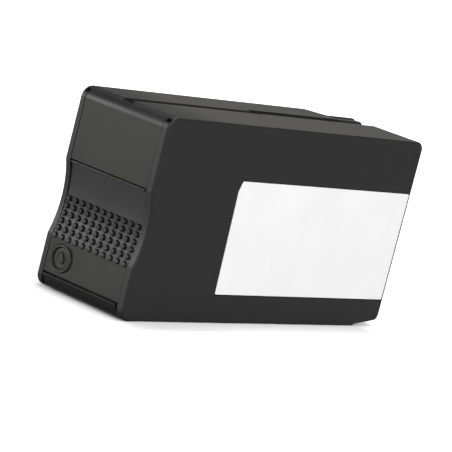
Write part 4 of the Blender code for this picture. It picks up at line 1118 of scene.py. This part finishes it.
# %% [markdown]
# ## Finishes
#
# A finish is a node tree, and what several finishes share is a node group: the fine grain of a spark
# eroded mould, the rub marks that handling leaves along edges, and the dust that settles on top, with
# a thin film that is painted light.
# Groups put out only values, and each material keeps its own shader. Everything reads Object
# coordinates, so the grain has one real size on every piece. A few small functions add and link the
# nodes, so that each finish below reads as a recipe.


# %% Small helpers for node trees
def add_node(tree, kind, settings=None, inputs=None):
    """New node with its settings. An input is a number, or an output of another node to link."""
    made = tree.nodes.new(kind)
    made.location = (220 * (len(tree.nodes) % 9), -260 * (len(tree.nodes) // 9))
    for name, value in (settings or {}).items():
        setattr(made, name, value)
    for name, value in (inputs or {}).items():
        if isinstance(value, bpy.types.NodeSocket):
            tree.links.new(value, made.inputs[name])
        else:
            made.inputs[name].default_value = value
    return made


def new_group(name, inputs, outputs):
    """Node group with named number inputs and their usual values, and named number outputs."""
    group = bpy.data.node_groups.new(name, "ShaderNodeTree")
    for label, value in inputs.items():
        socket = group.interface.new_socket(label, in_out="INPUT", socket_type="NodeSocketFloat")
        socket.default_value = value
    for label in outputs:
        group.interface.new_socket(label, in_out="OUTPUT", socket_type="NodeSocketFloat")
    return group, group.nodes.new("NodeGroupInput"), group.nodes.new("NodeGroupOutput")


def use_group(tree, group, inputs):
    """A node group placed in a tree, with its own values."""
    return add_node(tree, "ShaderNodeGroup", {"node_tree": group}, inputs)


def arithmetic(tree, operation, first, second, clamp=False):
    """Result of a Math node on two numbers or outputs."""
    settings = {"operation": operation, "use_clamp": clamp}
    return add_node(tree, "ShaderNodeMath", settings, {0: first, 1: second}).outputs[0]


def product(tree, first, second):
    """First times second."""
    return arithmetic(tree, "MULTIPLY", first, second)


def vector_math(tree, operation, first, second, output="Vector"):
    """Result of a Vector Math node on two vectors. The output is Value where it is one number."""
    inputs = {0: first, 1: second}
    return add_node(tree, "ShaderNodeVectorMath", {"operation": operation}, inputs).outputs[output]


def object_place(tree):
    """Object coordinates of the point that is shaded, which are metres in the shared frame."""
    return add_node(tree, "ShaderNodeTexCoord").outputs["Object"]


def facing(tree):
    """Direction that the surface faces."""
    return add_node(tree, "ShaderNodeNewGeometry").outputs["Normal"]


def part_of(tree, vector, axis):
    """One of a vector's three parts."""
    return add_node(tree, "ShaderNodeSeparateXYZ", None, {0: vector}).outputs[axis]


def stretched(tree, value, low, high, to_low=0.0, to_high=1.0):
    """Map a value from low..high to to_low..to_high, clamped."""
    inputs = {"Value": value, "From Min": low, "From Max": high, "To Min": to_low, "To Max": to_high}
    return add_node(tree, "ShaderNodeMapRange", None, inputs).outputs["Result"]


def noise(tree, scale, detail=2.0, roughness=0.5, squeezed=None):
    """Noise on Object coordinates. Along an axis that squeezed scales up, its marks are that much shorter."""
    place = object_place(tree)
    if squeezed:
        inputs = {"Vector": place, "Scale": squeezed}
        place = add_node(tree, "ShaderNodeMapping", None, inputs).outputs["Vector"]
    inputs = {"Vector": place, "Scale": scale, "Detail": detail, "Roughness": roughness}
    return add_node(tree, "ShaderNodeTexNoise", None, inputs).outputs["Fac"]


# %% [markdown]
# ### Grain of the mould
#
# Satin plastic is dull because spark erosion leaves its mould finely pitted. The pits are far too fine
# for geometry, so they are a noise that feeds a bump. A second, much wider noise stands for the soft
# clouds that flowing plastic leaves in the gloss.

# %% Mould grain
GRAIN_SCALE = 4200.0
GRAIN_DEPTH = 0.006 * MM

grain, grain_in, grain_out = new_group(
    "mould grain", {"Grain Scale": GRAIN_SCALE, "Cloud Scale": 55.0}, ("Height", "Cloud"))
fine = noise(grain, grain_in.outputs["Grain Scale"], 3.0, 0.6)
cloud = noise(grain, grain_in.outputs["Cloud Scale"], 4.0, 0.55)
grain.links.new(fine, grain_out.inputs["Height"])
grain.links.new(cloud, grain_out.inputs["Cloud"])
print(grain.name, "has marks of about", round(1 / GRAIN_SCALE / MM, 2), "mm")

# %% [markdown]
# ### Rubbed edges
#
# Handling polishes the edges first, in patches. A Bevel node gives the normal that a rounder edge would
# have, and where it leaves the real normal there is an edge. A noise breaks the line up.

# %% Edge rub
rub, rub_in, rub_out = new_group(
    "edge rub", {"Radius": 0.25 * MM, "Amount": 0.5, "Patch Scale": 160.0}, ("Mask",))
rounder = add_node(rub, "ShaderNodeBevel", {"samples": 6}, {"Radius": rub_in.outputs["Radius"]})
turned_by = vector_math(rub, "DOT_PRODUCT", rounder.outputs["Normal"], facing(rub), "Value")
edge = stretched(rub, arithmetic(rub, "SUBTRACT", 1.0, turned_by), 0.01, 0.16)
patchy = stretched(rub, noise(rub, rub_in.outputs["Patch Scale"], 5.0, 0.65), 0.38, 0.66)
rub.links.new(product(rub, product(rub, edge, patchy), rub_in.outputs["Amount"]), rub_out.inputs["Mask"])
print(rub.name, "reaches", round(rub_in.outputs["Radius"].default_value / MM, 2), "mm from an edge")

# %% [markdown]
# ### Dust and painted top light
#
# Dust lies on what faces up, as specks that drift into patches. A second layer is a thin even film
# on faces that look up, which is painted light: it starts a little behind the front end and grows
# towards the rear, so the top gets lighter towards the rear.

# %% Settled dust and painted top light
# The film is painted light: from here towards the rear it makes faces that look up lighter.
TOP_LIGHT_FROM, TOP_LIGHT_TO = FRONT + 3.0 * MM, FRONT + 26.0 * MM

dust_and_top_light, dust_and_top_light_in, dust_and_top_light_out = new_group(
    "settled specks and painted top light", {"Amount": 0.3, "Painted Top Light": 0.0, "Speck Scale": 900.0}, ("Mask",))
upwards = part_of(dust_and_top_light, facing(dust_and_top_light), "Z")
specks = stretched(dust_and_top_light, noise(dust_and_top_light, dust_and_top_light_in.outputs["Speck Scale"], 6.0, 0.7), 0.5, 0.8)
drift = stretched(dust_and_top_light, noise(dust_and_top_light, 40.0, 3.0, 0.6), 0.35, 0.75, 0.3, 1.0)
settled = product(dust_and_top_light, product(dust_and_top_light, specks, drift), stretched(dust_and_top_light, upwards, 0.2, 0.9))
lighter_to_rear = stretched(dust_and_top_light, part_of(dust_and_top_light, object_place(dust_and_top_light), "Y"), TOP_LIGHT_FROM, TOP_LIGHT_TO)
# Painted light: an even film on faces that look up, growing towards the rear.
painted_top_light = product(dust_and_top_light, product(dust_and_top_light, stretched(dust_and_top_light, upwards, 0.9, 1.0), lighter_to_rear), dust_and_top_light_in.outputs["Painted Top Light"])
both = arithmetic(dust_and_top_light, "ADD", product(dust_and_top_light, settled, dust_and_top_light_in.outputs["Amount"]), painted_top_light)
dust_and_top_light.links.new(both, dust_and_top_light_out.inputs["Mask"])
print("shared effects:", [group.name for group in (grain, rub, dust_and_top_light)])


# %% [markdown]
# ### Moulded plastic
#
# Shells, grip panel and chassis are black plastic from a satin mould. The colour is nearly even, and
# what the eye reads is the gloss: it wavers in soft clouds, is higher where fingers have rubbed the
# edges, and breaks up over the fine grain. Each stretch of the panel's height gets a shade of its own,
# lighter or darker as the light falls on it there, and the faces of the shells that look forwards get
# a lighter colour: this is painted light and shade. A painted picture could hold such shades, but it
# would be tied to one size, while bands follow the panel's own values. Natural plastic parts use the
# same tree in a milky white.


# %% Moulded plastic
def new_material(name):
    """Material with its node tree and its Principled shader."""
    made = bpy.data.materials.new(name)
    made.use_nodes = True
    return made, made.node_tree, made.node_tree.nodes["Principled BSDF"]


def mix_colours(tree, share, first, second):
    """First colour where the share is 0, second where it is 1. Each is three numbers or an output."""
    made = add_node(tree, "ShaderNodeMix", {"data_type": "RGBA"}, {"Factor": share})
    for socket, value in ((made.inputs[6], first), (made.inputs[7], second)):
        if isinstance(value, bpy.types.NodeSocket):
            tree.links.new(value, socket)
        else:
            socket.default_value = (*value, 1.0)
    return made.outputs[2]


def bump(tree, shader, height, depth, strength=1.0):
    """Bump of a real depth in front of the shader's normal."""
    inputs = {"Height": height, "Distance": depth, "Strength": strength}
    made = add_node(tree, "ShaderNodeBump", None, inputs)
    tree.links.new(made.outputs["Normal"], shader.inputs["Normal"])


BAND_FADE = 0.15 * MM
# Colour of the dust specks, and of the film of painted top light.
DUST_AND_TOP_LIGHT_COLOUR = (0.30, 0.29, 0.27)


def banded(tree, colour, bands):
    """Colour that changes with height, to paint light and shade: each band is its lowest and highest z and a
    colour of its own.
    """
    height = part_of(tree, object_place(tree), "Z")
    for low, high, other in bands:
        above = stretched(tree, height, low - BAND_FADE, low + BAND_FADE)
        below = stretched(tree, height, high - BAND_FADE, high + BAND_FADE, 1.0, 0.0)
        colour = mix_colours(tree, product(tree, above, below), colour, other)
    return colour


def moulded_plastic(name, colour, rubbed, roughness, specular,
                    edge_amount=0.5, dust_amount=0.25, painted_top_light=0.0, bands=(), front=None):
    """Satin plastic. Clouds move the roughness by a tenth and darken the colour by up to a fifth, and
    rubbed edges are paler and smoother. Bands paint lighter and darker stretches by height, painted
    light and shade. Front is a lighter colour on faces that look forwards, painted light, and the film
    is painted light that lightens the top towards the rear."""
    made, tree, shader = new_material(name)
    texture = use_group(tree, grain, {"Grain Scale": GRAIN_SCALE})
    worn = use_group(tree, rub, {"Amount": edge_amount}).outputs["Mask"]
    # This mask carries both the real dust specks and the film of painted top light.
    dust_and_top_light_mask = use_group(tree, dust_and_top_light, {"Amount": dust_amount, "Painted Top Light": painted_top_light}).outputs["Mask"]
    if bands:
        colour = banded(tree, colour, bands)
    # Faces that look forwards get the front colour, a lighter colour that is painted light.
    if front:
        forwards = stretched(tree, part_of(tree, facing(tree), "Y"), -0.7, -0.95)
        colour = mix_colours(tree, forwards, colour, front)
    shade = stretched(tree, texture.outputs["Cloud"], 0.3, 0.7, 0.82, 1.0)
    scaled = add_node(tree, "ShaderNodeVectorMath", {"operation": "SCALE"}, {0: colour, "Scale": shade})
    base = mix_colours(tree, worn, scaled.outputs["Vector"], rubbed)
    base = mix_colours(tree, dust_and_top_light_mask, base, DUST_AND_TOP_LIGHT_COLOUR)
    tree.links.new(base, shader.inputs["Base Color"])
    even = stretched(tree, texture.outputs["Cloud"], 0.3, 0.7, roughness - 0.05, roughness + 0.05)
    smoothed = arithmetic(tree, "SUBTRACT", even, product(tree, worn, 0.15))
    tree.links.new(arithmetic(tree, "ADD", smoothed, dust_and_top_light_mask, clamp=True), shader.inputs["Roughness"])
    shader.inputs["Specular IOR Level"].default_value = specular
    bump(tree, shader, texture.outputs["Height"], GRAIN_DEPTH)
    return made


# %% The four plastics
TOP_BAND = 2.4 * MM

# The front colour paints the shells' forward faces lighter, painted light, and the film lightens their top
# towards the rear, painted light too.
black_shell = moulded_plastic(
    "satin_black_shell", colour=(0.012, 0.012, 0.0118), rubbed=(0.03, 0.03, 0.03), roughness=0.46,
    specular=0.3, dust_amount=0.08, painted_top_light=0.1, front=(0.0255, 0.0255, 0.0255))
# The bands paint the light on the panel's stretches: the chamfer that faces down and the studded stretch are
# darker, painted shade; the stretch round the ring and the smooth scoop are lighter, painted light; the top
# strip is darker, painted shade, and neutral like the shells.
chamfer_band = (-FIT_GAP, lip_top, (0.009, 0.009, 0.0088))
ring_band = (LOWER_GROOVE_Z, SCOOP_BOTTOM, (0.0276, 0.0278, 0.0236))
peg_band = (SCOOP_BOTTOM, cell_z[-1], (0.0104, 0.0104, 0.0106))
smooth_band = (cell_z[-1], SCOOP_TOP, (0.0323, 0.0323, 0.0324))
top_band = (HEIGHT - TOP_BAND, TOP, (0.0147, 0.014, 0.0148))
black_grip = moulded_plastic(
    "satin_black_grip", colour=(0.0195, 0.0202, 0.0140), rubbed=(0.04, 0.04, 0.036), roughness=0.42,
    specular=0.3, edge_amount=0.2, dust_amount=0.05,
    bands=(chamfer_band, ring_band, peg_band, smooth_band, top_band))
chassis_black = moulded_plastic(
    "chassis_black", colour=(0.030, 0.030, 0.031), rubbed=(0.07, 0.07, 0.07), roughness=0.5, specular=0.4)
natural_plastic = moulded_plastic(
    "natural_plastic", colour=(0.74, 0.73, 0.68), rubbed=(0.8, 0.8, 0.77), roughness=0.38, specular=0.5,
    edge_amount=0.2, dust_amount=0.1)
print("plastics:", [made.name for made in (black_shell, black_grip, chassis_black, natural_plastic)])

# %% [markdown]
# ### Label paper
#
# Coated paper is almost even, so a plain white would look like plastic. Fine fibres drawn out along
# the sheet move its roughness and height, a wide noise warms and cools the white by a hair, and the
# die-cut edge is a little soiled.

# %% Label paper
FIBRE_SCALE, FIBRE_SQUEEZE = 1500.0, (1.0, 1.0, 3.0)
FIBRE_DEPTH = 0.004 * MM

label_paper, tree, shader = new_material("label_paper")
fibres = noise(tree, FIBRE_SCALE, 5.0, 0.62, FIBRE_SQUEEZE)
soft = noise(tree, 70.0, 3.0)
soiled = use_group(tree, rub, {"Radius": 0.3 * MM, "Amount": 0.35, "Patch Scale": 300.0}).outputs["Mask"]
paper = mix_colours(tree, stretched(tree, soft, 0.35, 0.65), (0.845, 0.845, 0.85), (0.875, 0.875, 0.875))
tree.links.new(mix_colours(tree, soiled, paper, (0.78, 0.77, 0.75)), shader.inputs["Base Color"])
tree.links.new(stretched(tree, fibres, 0.3, 0.7, 0.42, 0.54), shader.inputs["Roughness"])
shader.inputs["Specular IOR Level"].default_value = 0.3
bump(tree, shader, fibres, FIBRE_DEPTH, 0.6)
print(label_paper.name, "fibres of about", round(1 / FIBRE_SCALE / MM, 2), "mm")

# %% [markdown]
# ### Rubber, foil, felt, clear sheet and resin
#
# These are soft or filmy, and differ in colour, gloss and how coarse they are. So one recipe serves
# them all, and each gets its own numbers: rubber is matt with a fine tooth, foil is half metal under
# a clear film, felt is rough and pale, and the resin over the chip is glossy and black.


# %% Rubber, film, membrane and clear sheet
def soft_matter(name, colour, shade, roughness, scale, depth, metallic=0.0, coat=0.0):
    """Matt or filmy surface: a wide noise moves the colour, a fine one the roughness and the height."""
    made, tree, shader = new_material(name)
    pattern = noise(tree, scale, 5.0, 0.6)
    wide = stretched(tree, noise(tree, 90.0, 3.0), 0.3, 0.7)
    tree.links.new(mix_colours(tree, wide, colour, shade), shader.inputs["Base Color"])
    spread = stretched(tree, pattern, 0.3, 0.7, roughness - 0.06, roughness + 0.06)
    tree.links.new(spread, shader.inputs["Roughness"])
    shader.inputs["Metallic"].default_value = metallic
    shader.inputs["Coat Weight"].default_value = coat
    bump(tree, shader, pattern, depth)
    return made


grey_rubber = soft_matter(
    "grey_rubber", colour=(0.10, 0.10, 0.105), shade=(0.14, 0.14, 0.145), roughness=0.72,
    scale=2600.0, depth=0.012 * MM)
foil_film = soft_matter(
    "foil_film", colour=(0.42, 0.43, 0.45), shade=(0.34, 0.35, 0.37), roughness=0.3,
    scale=420.0, depth=0.10 * MM, metallic=0.75, coat=0.3)
vent_felt = soft_matter(
    "vent_felt", colour=(0.83, 0.83, 0.81), shade=(0.76, 0.76, 0.74), roughness=0.85,
    scale=5200.0, depth=0.03 * MM)
clear_sheet = soft_matter(
    "clear_sheet", colour=(0.80, 0.83, 0.86), shade=(0.74, 0.78, 0.82), roughness=0.16,
    scale=300.0, depth=0.01 * MM, coat=0.5)
black_epoxy = soft_matter(
    "black_epoxy", colour=(0.018, 0.018, 0.02), shade=(0.03, 0.03, 0.032), roughness=0.28,
    scale=900.0, depth=0.02 * MM, coat=0.3)
soft_ones = (grey_rubber, foil_film, vent_felt, clear_sheet, black_epoxy)
print("soft and filmy:", [made.name for made in soft_ones])

# %% [markdown]
# ### Metals
#
# The ball is ground, the spring's wire is drawn through a die, and the chip's pads are gold plated.
# Bare metal takes its look from what it mirrors, so it needs fine marks in its roughness and height,
# and hardly any in its colour.


# %% Metals
def metal(name, colour, shade, roughness, scale, depth, squeezed=(1, 1, 1)):
    """Bare metal: one noise of fine marks moves its colour, roughness and height together."""
    made, tree, shader = new_material(name)
    marks = noise(tree, scale, 6.0, 0.7, squeezed)
    marked = mix_colours(tree, stretched(tree, marks, 0.35, 0.7), colour, shade)
    tree.links.new(marked, shader.inputs["Base Color"])
    spread = stretched(tree, marks, 0.3, 0.7, roughness - 0.07, roughness + 0.1)
    tree.links.new(spread, shader.inputs["Roughness"])
    shader.inputs["Metallic"].default_value = 1.0
    bump(tree, shader, marks, depth)
    return made


ground_steel = metal("ground_steel", colour=(0.66, 0.66, 0.67), shade=(0.52, 0.52, 0.54),
                     roughness=0.2, scale=2400.0, depth=0.002 * MM, squeezed=(1, 5, 1))
drawn_steel = metal("drawn_steel", colour=(0.58, 0.58, 0.59), shade=(0.44, 0.44, 0.46),
                    roughness=0.3, scale=3000.0, depth=0.004 * MM)
contact_gold = metal("contact_gold", colour=(0.86, 0.64, 0.28), shade=(0.72, 0.50, 0.2),
                     roughness=0.28, scale=1400.0, depth=0.004 * MM, squeezed=(1, 1, 6))
print("metals:", [made.name for made in (ground_steel, drawn_steel, contact_gold)])

# %% [markdown]
# The filter is steel cloth. Two sets of waves at right angles, the higher one of which wins at each
# point, look like threads that cross.


# %% Woven steel of the filter
def waves(tree, direction, scale, distortion, detail=2.0):
    """Even waves across one axis of the Object coordinates."""
    inputs = {"Vector": object_place(tree), "Scale": scale, "Distortion": distortion, "Detail": detail}
    return add_node(tree, "ShaderNodeTexWave", {"bands_direction": direction}, inputs).outputs["Fac"]


THREAD_SCALE = 1600.0

filter_weave, tree, shader = new_material("filter_weave")
weave = arithmetic(tree, "MAXIMUM", waves(tree, "X", THREAD_SCALE, 0.4), waves(tree, "Z", THREAD_SCALE, 0.4))
tree.links.new(mix_colours(tree, weave, (0.16, 0.16, 0.17), (0.6, 0.6, 0.61)), shader.inputs["Base Color"])
tree.links.new(stretched(tree, weave, 0.0, 1.0, 0.6, 0.3), shader.inputs["Roughness"])
shader.inputs["Metallic"].default_value = 1.0
bump(tree, shader, weave, 0.05 * MM)

# %% [markdown]
# The board is glass cloth under green lacquer. The weave shows faintly, and thin copper lines under
# the lacquer are a touch lighter, which a wave pattern with a hard threshold gives.

# %% Board lacquer
board_lacquer, tree, shader = new_material("board_lacquer")
traces = stretched(tree, waves(tree, "Z", 380.0, 1.2, detail=1.0), 0.62, 0.7)
cloth = noise(tree, 2400.0, 2.0)
green = mix_colours(tree, stretched(tree, cloth, 0.3, 0.7), (0.010, 0.070, 0.032), (0.014, 0.085, 0.040))
tree.links.new(mix_colours(tree, traces, green, (0.022, 0.125, 0.055)), shader.inputs["Base Color"])
tree.links.new(stretched(tree, cloth, 0.3, 0.7, 0.3, 0.4), shader.inputs["Roughness"])
shader.inputs["Coat Weight"].default_value = 0.4
bump(tree, shader, arithmetic(tree, "ADD", traces, product(tree, cloth, 0.3)), 0.02 * MM)

# %% [markdown]
# ### Who wears what
#
# A new piece has no material yet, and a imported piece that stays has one, which is swapped in its slot.

# %% Every piece gets its finish
finishes = {
    black_shell: [near_shell, far_shell],
    black_grip: [grip_panel],
    label_paper: [label],
    chassis_black: [chassis],
    grey_rubber: [outlet_septum, air_septum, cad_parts["chassis_gasket"]],
    natural_plastic: [outlet_retainer, air_retainer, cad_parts["bag_spout"]],
    ground_steel: [ball],
    drawn_steel: [spring],
    filter_weave: [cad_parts["outlet_filter"]],
    vent_felt: [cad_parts["vent_membrane"]],
    foil_film: [ink_bag],
    clear_sheet: stiffeners,
    board_lacquer: [board],
    black_epoxy: [die_cover],
    contact_gold: pads,
}
for material, pieces in finishes.items():
    for piece in pieces:
        if piece.data.materials:
            piece.material_slots[0].material = material
        else:
            piece.data.materials.append(material)
print("finishes:", len(finishes), "on", sum(len(pieces) for pieces in finishes.values()), "pieces")

# %% [markdown]
# ## Camera, floor and light
#
# The camera looks at the front and the label side from a little above, through a long lens, and is
# rolled by about a sixth of a right angle, so the cartridge leans back in the picture. Place, aim, roll
# and lens were fitted together to the edges of the housing.

# %% Camera
CAMERA_PLACE = Vector((505.42, -608.16, 153.86)) * MM
CAMERA_AIM = Vector((-0.77, -1.73, 23.60)) * MM
CAMERA_ROLL = math.radians(14.41)
CAMERA_LENS = 223.25

camera_data = bpy.data.cameras.new("camera")
camera_data.lens = CAMERA_LENS
camera = bpy.data.objects.new("camera", camera_data)
bpy.context.scene.collection.objects.link(camera)
forward = (CAMERA_AIM - CAMERA_PLACE).normalized()
level = forward.cross(Vector((0, 0, 1))).normalized()
upright = level.cross(forward)
right = math.cos(CAMERA_ROLL) * level + math.sin(CAMERA_ROLL) * upright
up = math.cos(CAMERA_ROLL) * upright - math.sin(CAMERA_ROLL) * level
axes = Matrix((right, up, -forward)).transposed().to_4x4()
camera.matrix_world = Matrix.Translation(CAMERA_PLACE) @ axes
camera_data.clip_start, camera_data.clip_end = 0.01, 50
bpy.context.scene.camera = camera
print("camera", round((CAMERA_AIM - CAMERA_PLACE).length / MM), "mm away, lens", CAMERA_LENS)

# %% [markdown]
# The world is white at the horizon, where the camera and the cartridge's upright faces see it, and
# falls to a dark grey overhead, which keeps the black top dark.

# %% World
scene = bpy.context.scene
scene.view_settings.view_transform = "Standard"
HORIZON_LEVEL, SKY_LEVEL = 1.0, 0.12
HORIZON_RISE, SKY_RISE = 0.02, 0.175
world = bpy.data.worlds.new("studio")
scene.world = world
world.use_nodes = True
tree = world.node_tree
heading = add_node(tree, "ShaderNodeTexCoord").outputs["Generated"]
height = add_node(tree, "ShaderNodeSeparateXYZ", None, {0: heading}).outputs["Z"]
level = stretched(tree, height, HORIZON_RISE, SKY_RISE, HORIZON_LEVEL, SKY_LEVEL)
tree.links.new(level, tree.nodes["Background"].inputs["Color"])
print("world from", HORIZON_LEVEL, "at the horizon to", SKY_LEVEL, "overhead")

# %% [markdown]
# The floor is one matt square. A white sheet lit only by lamps would show grey against the white world,
# so for the camera the floor also shines by itself. That light grows from nothing under the cartridge
# to full at some distance, which leaves the soft shadow at its foot. Reflections see only a little of
# that light, and the light that the floor throws back on the cartridge is that of a grey floor.

# %% Floor
FLOOR_REACH = 3.0
FLOOR_WHITE, FLOOR_GREY = 0.74, 0.33
FLOOR_MIRRORED = 0.15
FOOT_LOW = Vector((-11.0 * MM, FRONT + 2.0 * MM, 0.0))
FOOT_HIGH = Vector((23.0 * MM, REAR - HEEL_LENGTH, 0.0))
NEAR_FADE, FAR_FADE = 9.0 * MM, 0.4
NEAR_SHARE = 0.4

floor_corners = [(x * FLOOR_REACH, y * FLOOR_REACH, 0) for x, y in ((-1, -1), (1, -1), (1, 1), (-1, 1))]
floor_mesh = bpy.data.meshes.new("floor")
floor_mesh.from_pydata(floor_corners, [], [(0, 1, 2, 3)])
floor = bpy.data.objects.new("floor", floor_mesh)
scene.collection.objects.link(floor)
floor_white, tree, shader = new_material("floor_white")
rays = add_node(tree, "ShaderNodeLightPath").outputs
seen = rays["Is Camera Ray"]
mirrored = arithmetic(tree, "MAXIMUM", rays["Is Glossy Ray"], rays["Is Transmission Ray"])
beside = vector_math(tree, "SUBTRACT", object_place(tree), (FOOT_LOW + FOOT_HIGH) / 2)
beside = vector_math(tree, "ABSOLUTE", beside, (0, 0, 0))
beside = vector_math(tree, "SUBTRACT", beside, (FOOT_HIGH - FOOT_LOW) / 2)
beside = vector_math(tree, "MAXIMUM", beside, (0, 0, 0))
distance = vector_math(tree, "LENGTH", beside, (0, 0, 0), "Value")
own = arithmetic(tree, "ADD", stretched(tree, distance, 0.0, NEAR_FADE, 0.0, NEAR_SHARE),
                 stretched(tree, distance, NEAR_FADE, FAR_FADE, 0.0, 1 - NEAR_SHARE))
seen_share = stretched(tree, seen, 0.0, 1.0, product(tree, mirrored, FLOOR_MIRRORED), 1.0)
own_light = product(tree, own, seen_share)
floor_colour = mix_colours(tree, seen, (FLOOR_GREY,) * 3, (FLOOR_WHITE,) * 3)
tree.links.new(floor_colour, shader.inputs["Base Color"])
shader.inputs["Roughness"].default_value = 1.0
shader.inputs["Specular IOR Level"].default_value = 0.0
shader.inputs["Emission Color"].default_value = (1, 1, 1, 1)
tree.links.new(own_light, shader.inputs["Emission Strength"])
floor_mesh.materials.append(floor_white)
print("floor", 2 * FLOOR_REACH, "m wide")

# %% [markdown]
# Three soft boxes light the cartridge: one in front on the far side, one overhead and one that fills
# the label side. Large lamps give the wide soft highlights of a photo tent.


# %% Lamps
def softbox(name, place, size, watts):
    """Area lamp that looks at the middle of the cartridge."""
    lamp = bpy.data.lights.new(name, "AREA")
    lamp.shape, lamp.size, lamp.size_y, lamp.energy = "RECTANGLE", size[0], size[1], watts
    made = bpy.data.objects.new(name, lamp)
    made.location = place
    made.rotation_euler = (MIDDLE - Vector(place)).to_track_quat("-Z", "Y").to_euler()
    scene.collection.objects.link(made)


MIDDLE = Vector((0.0, 0.0, HEIGHT / 2))
softbox("front_left", place=(-0.7, -0.84, 0.27), size=(0.8, 0.42), watts=8.5)
softbox("top", place=(0.0, 0.1, 0.9), size=(0.5, 0.5), watts=8.6)
softbox("side_fill", place=(0.95, -0.25, 0.5), size=(0.6, 0.6), watts=9.6)
print("lamps:", len(bpy.data.lights))
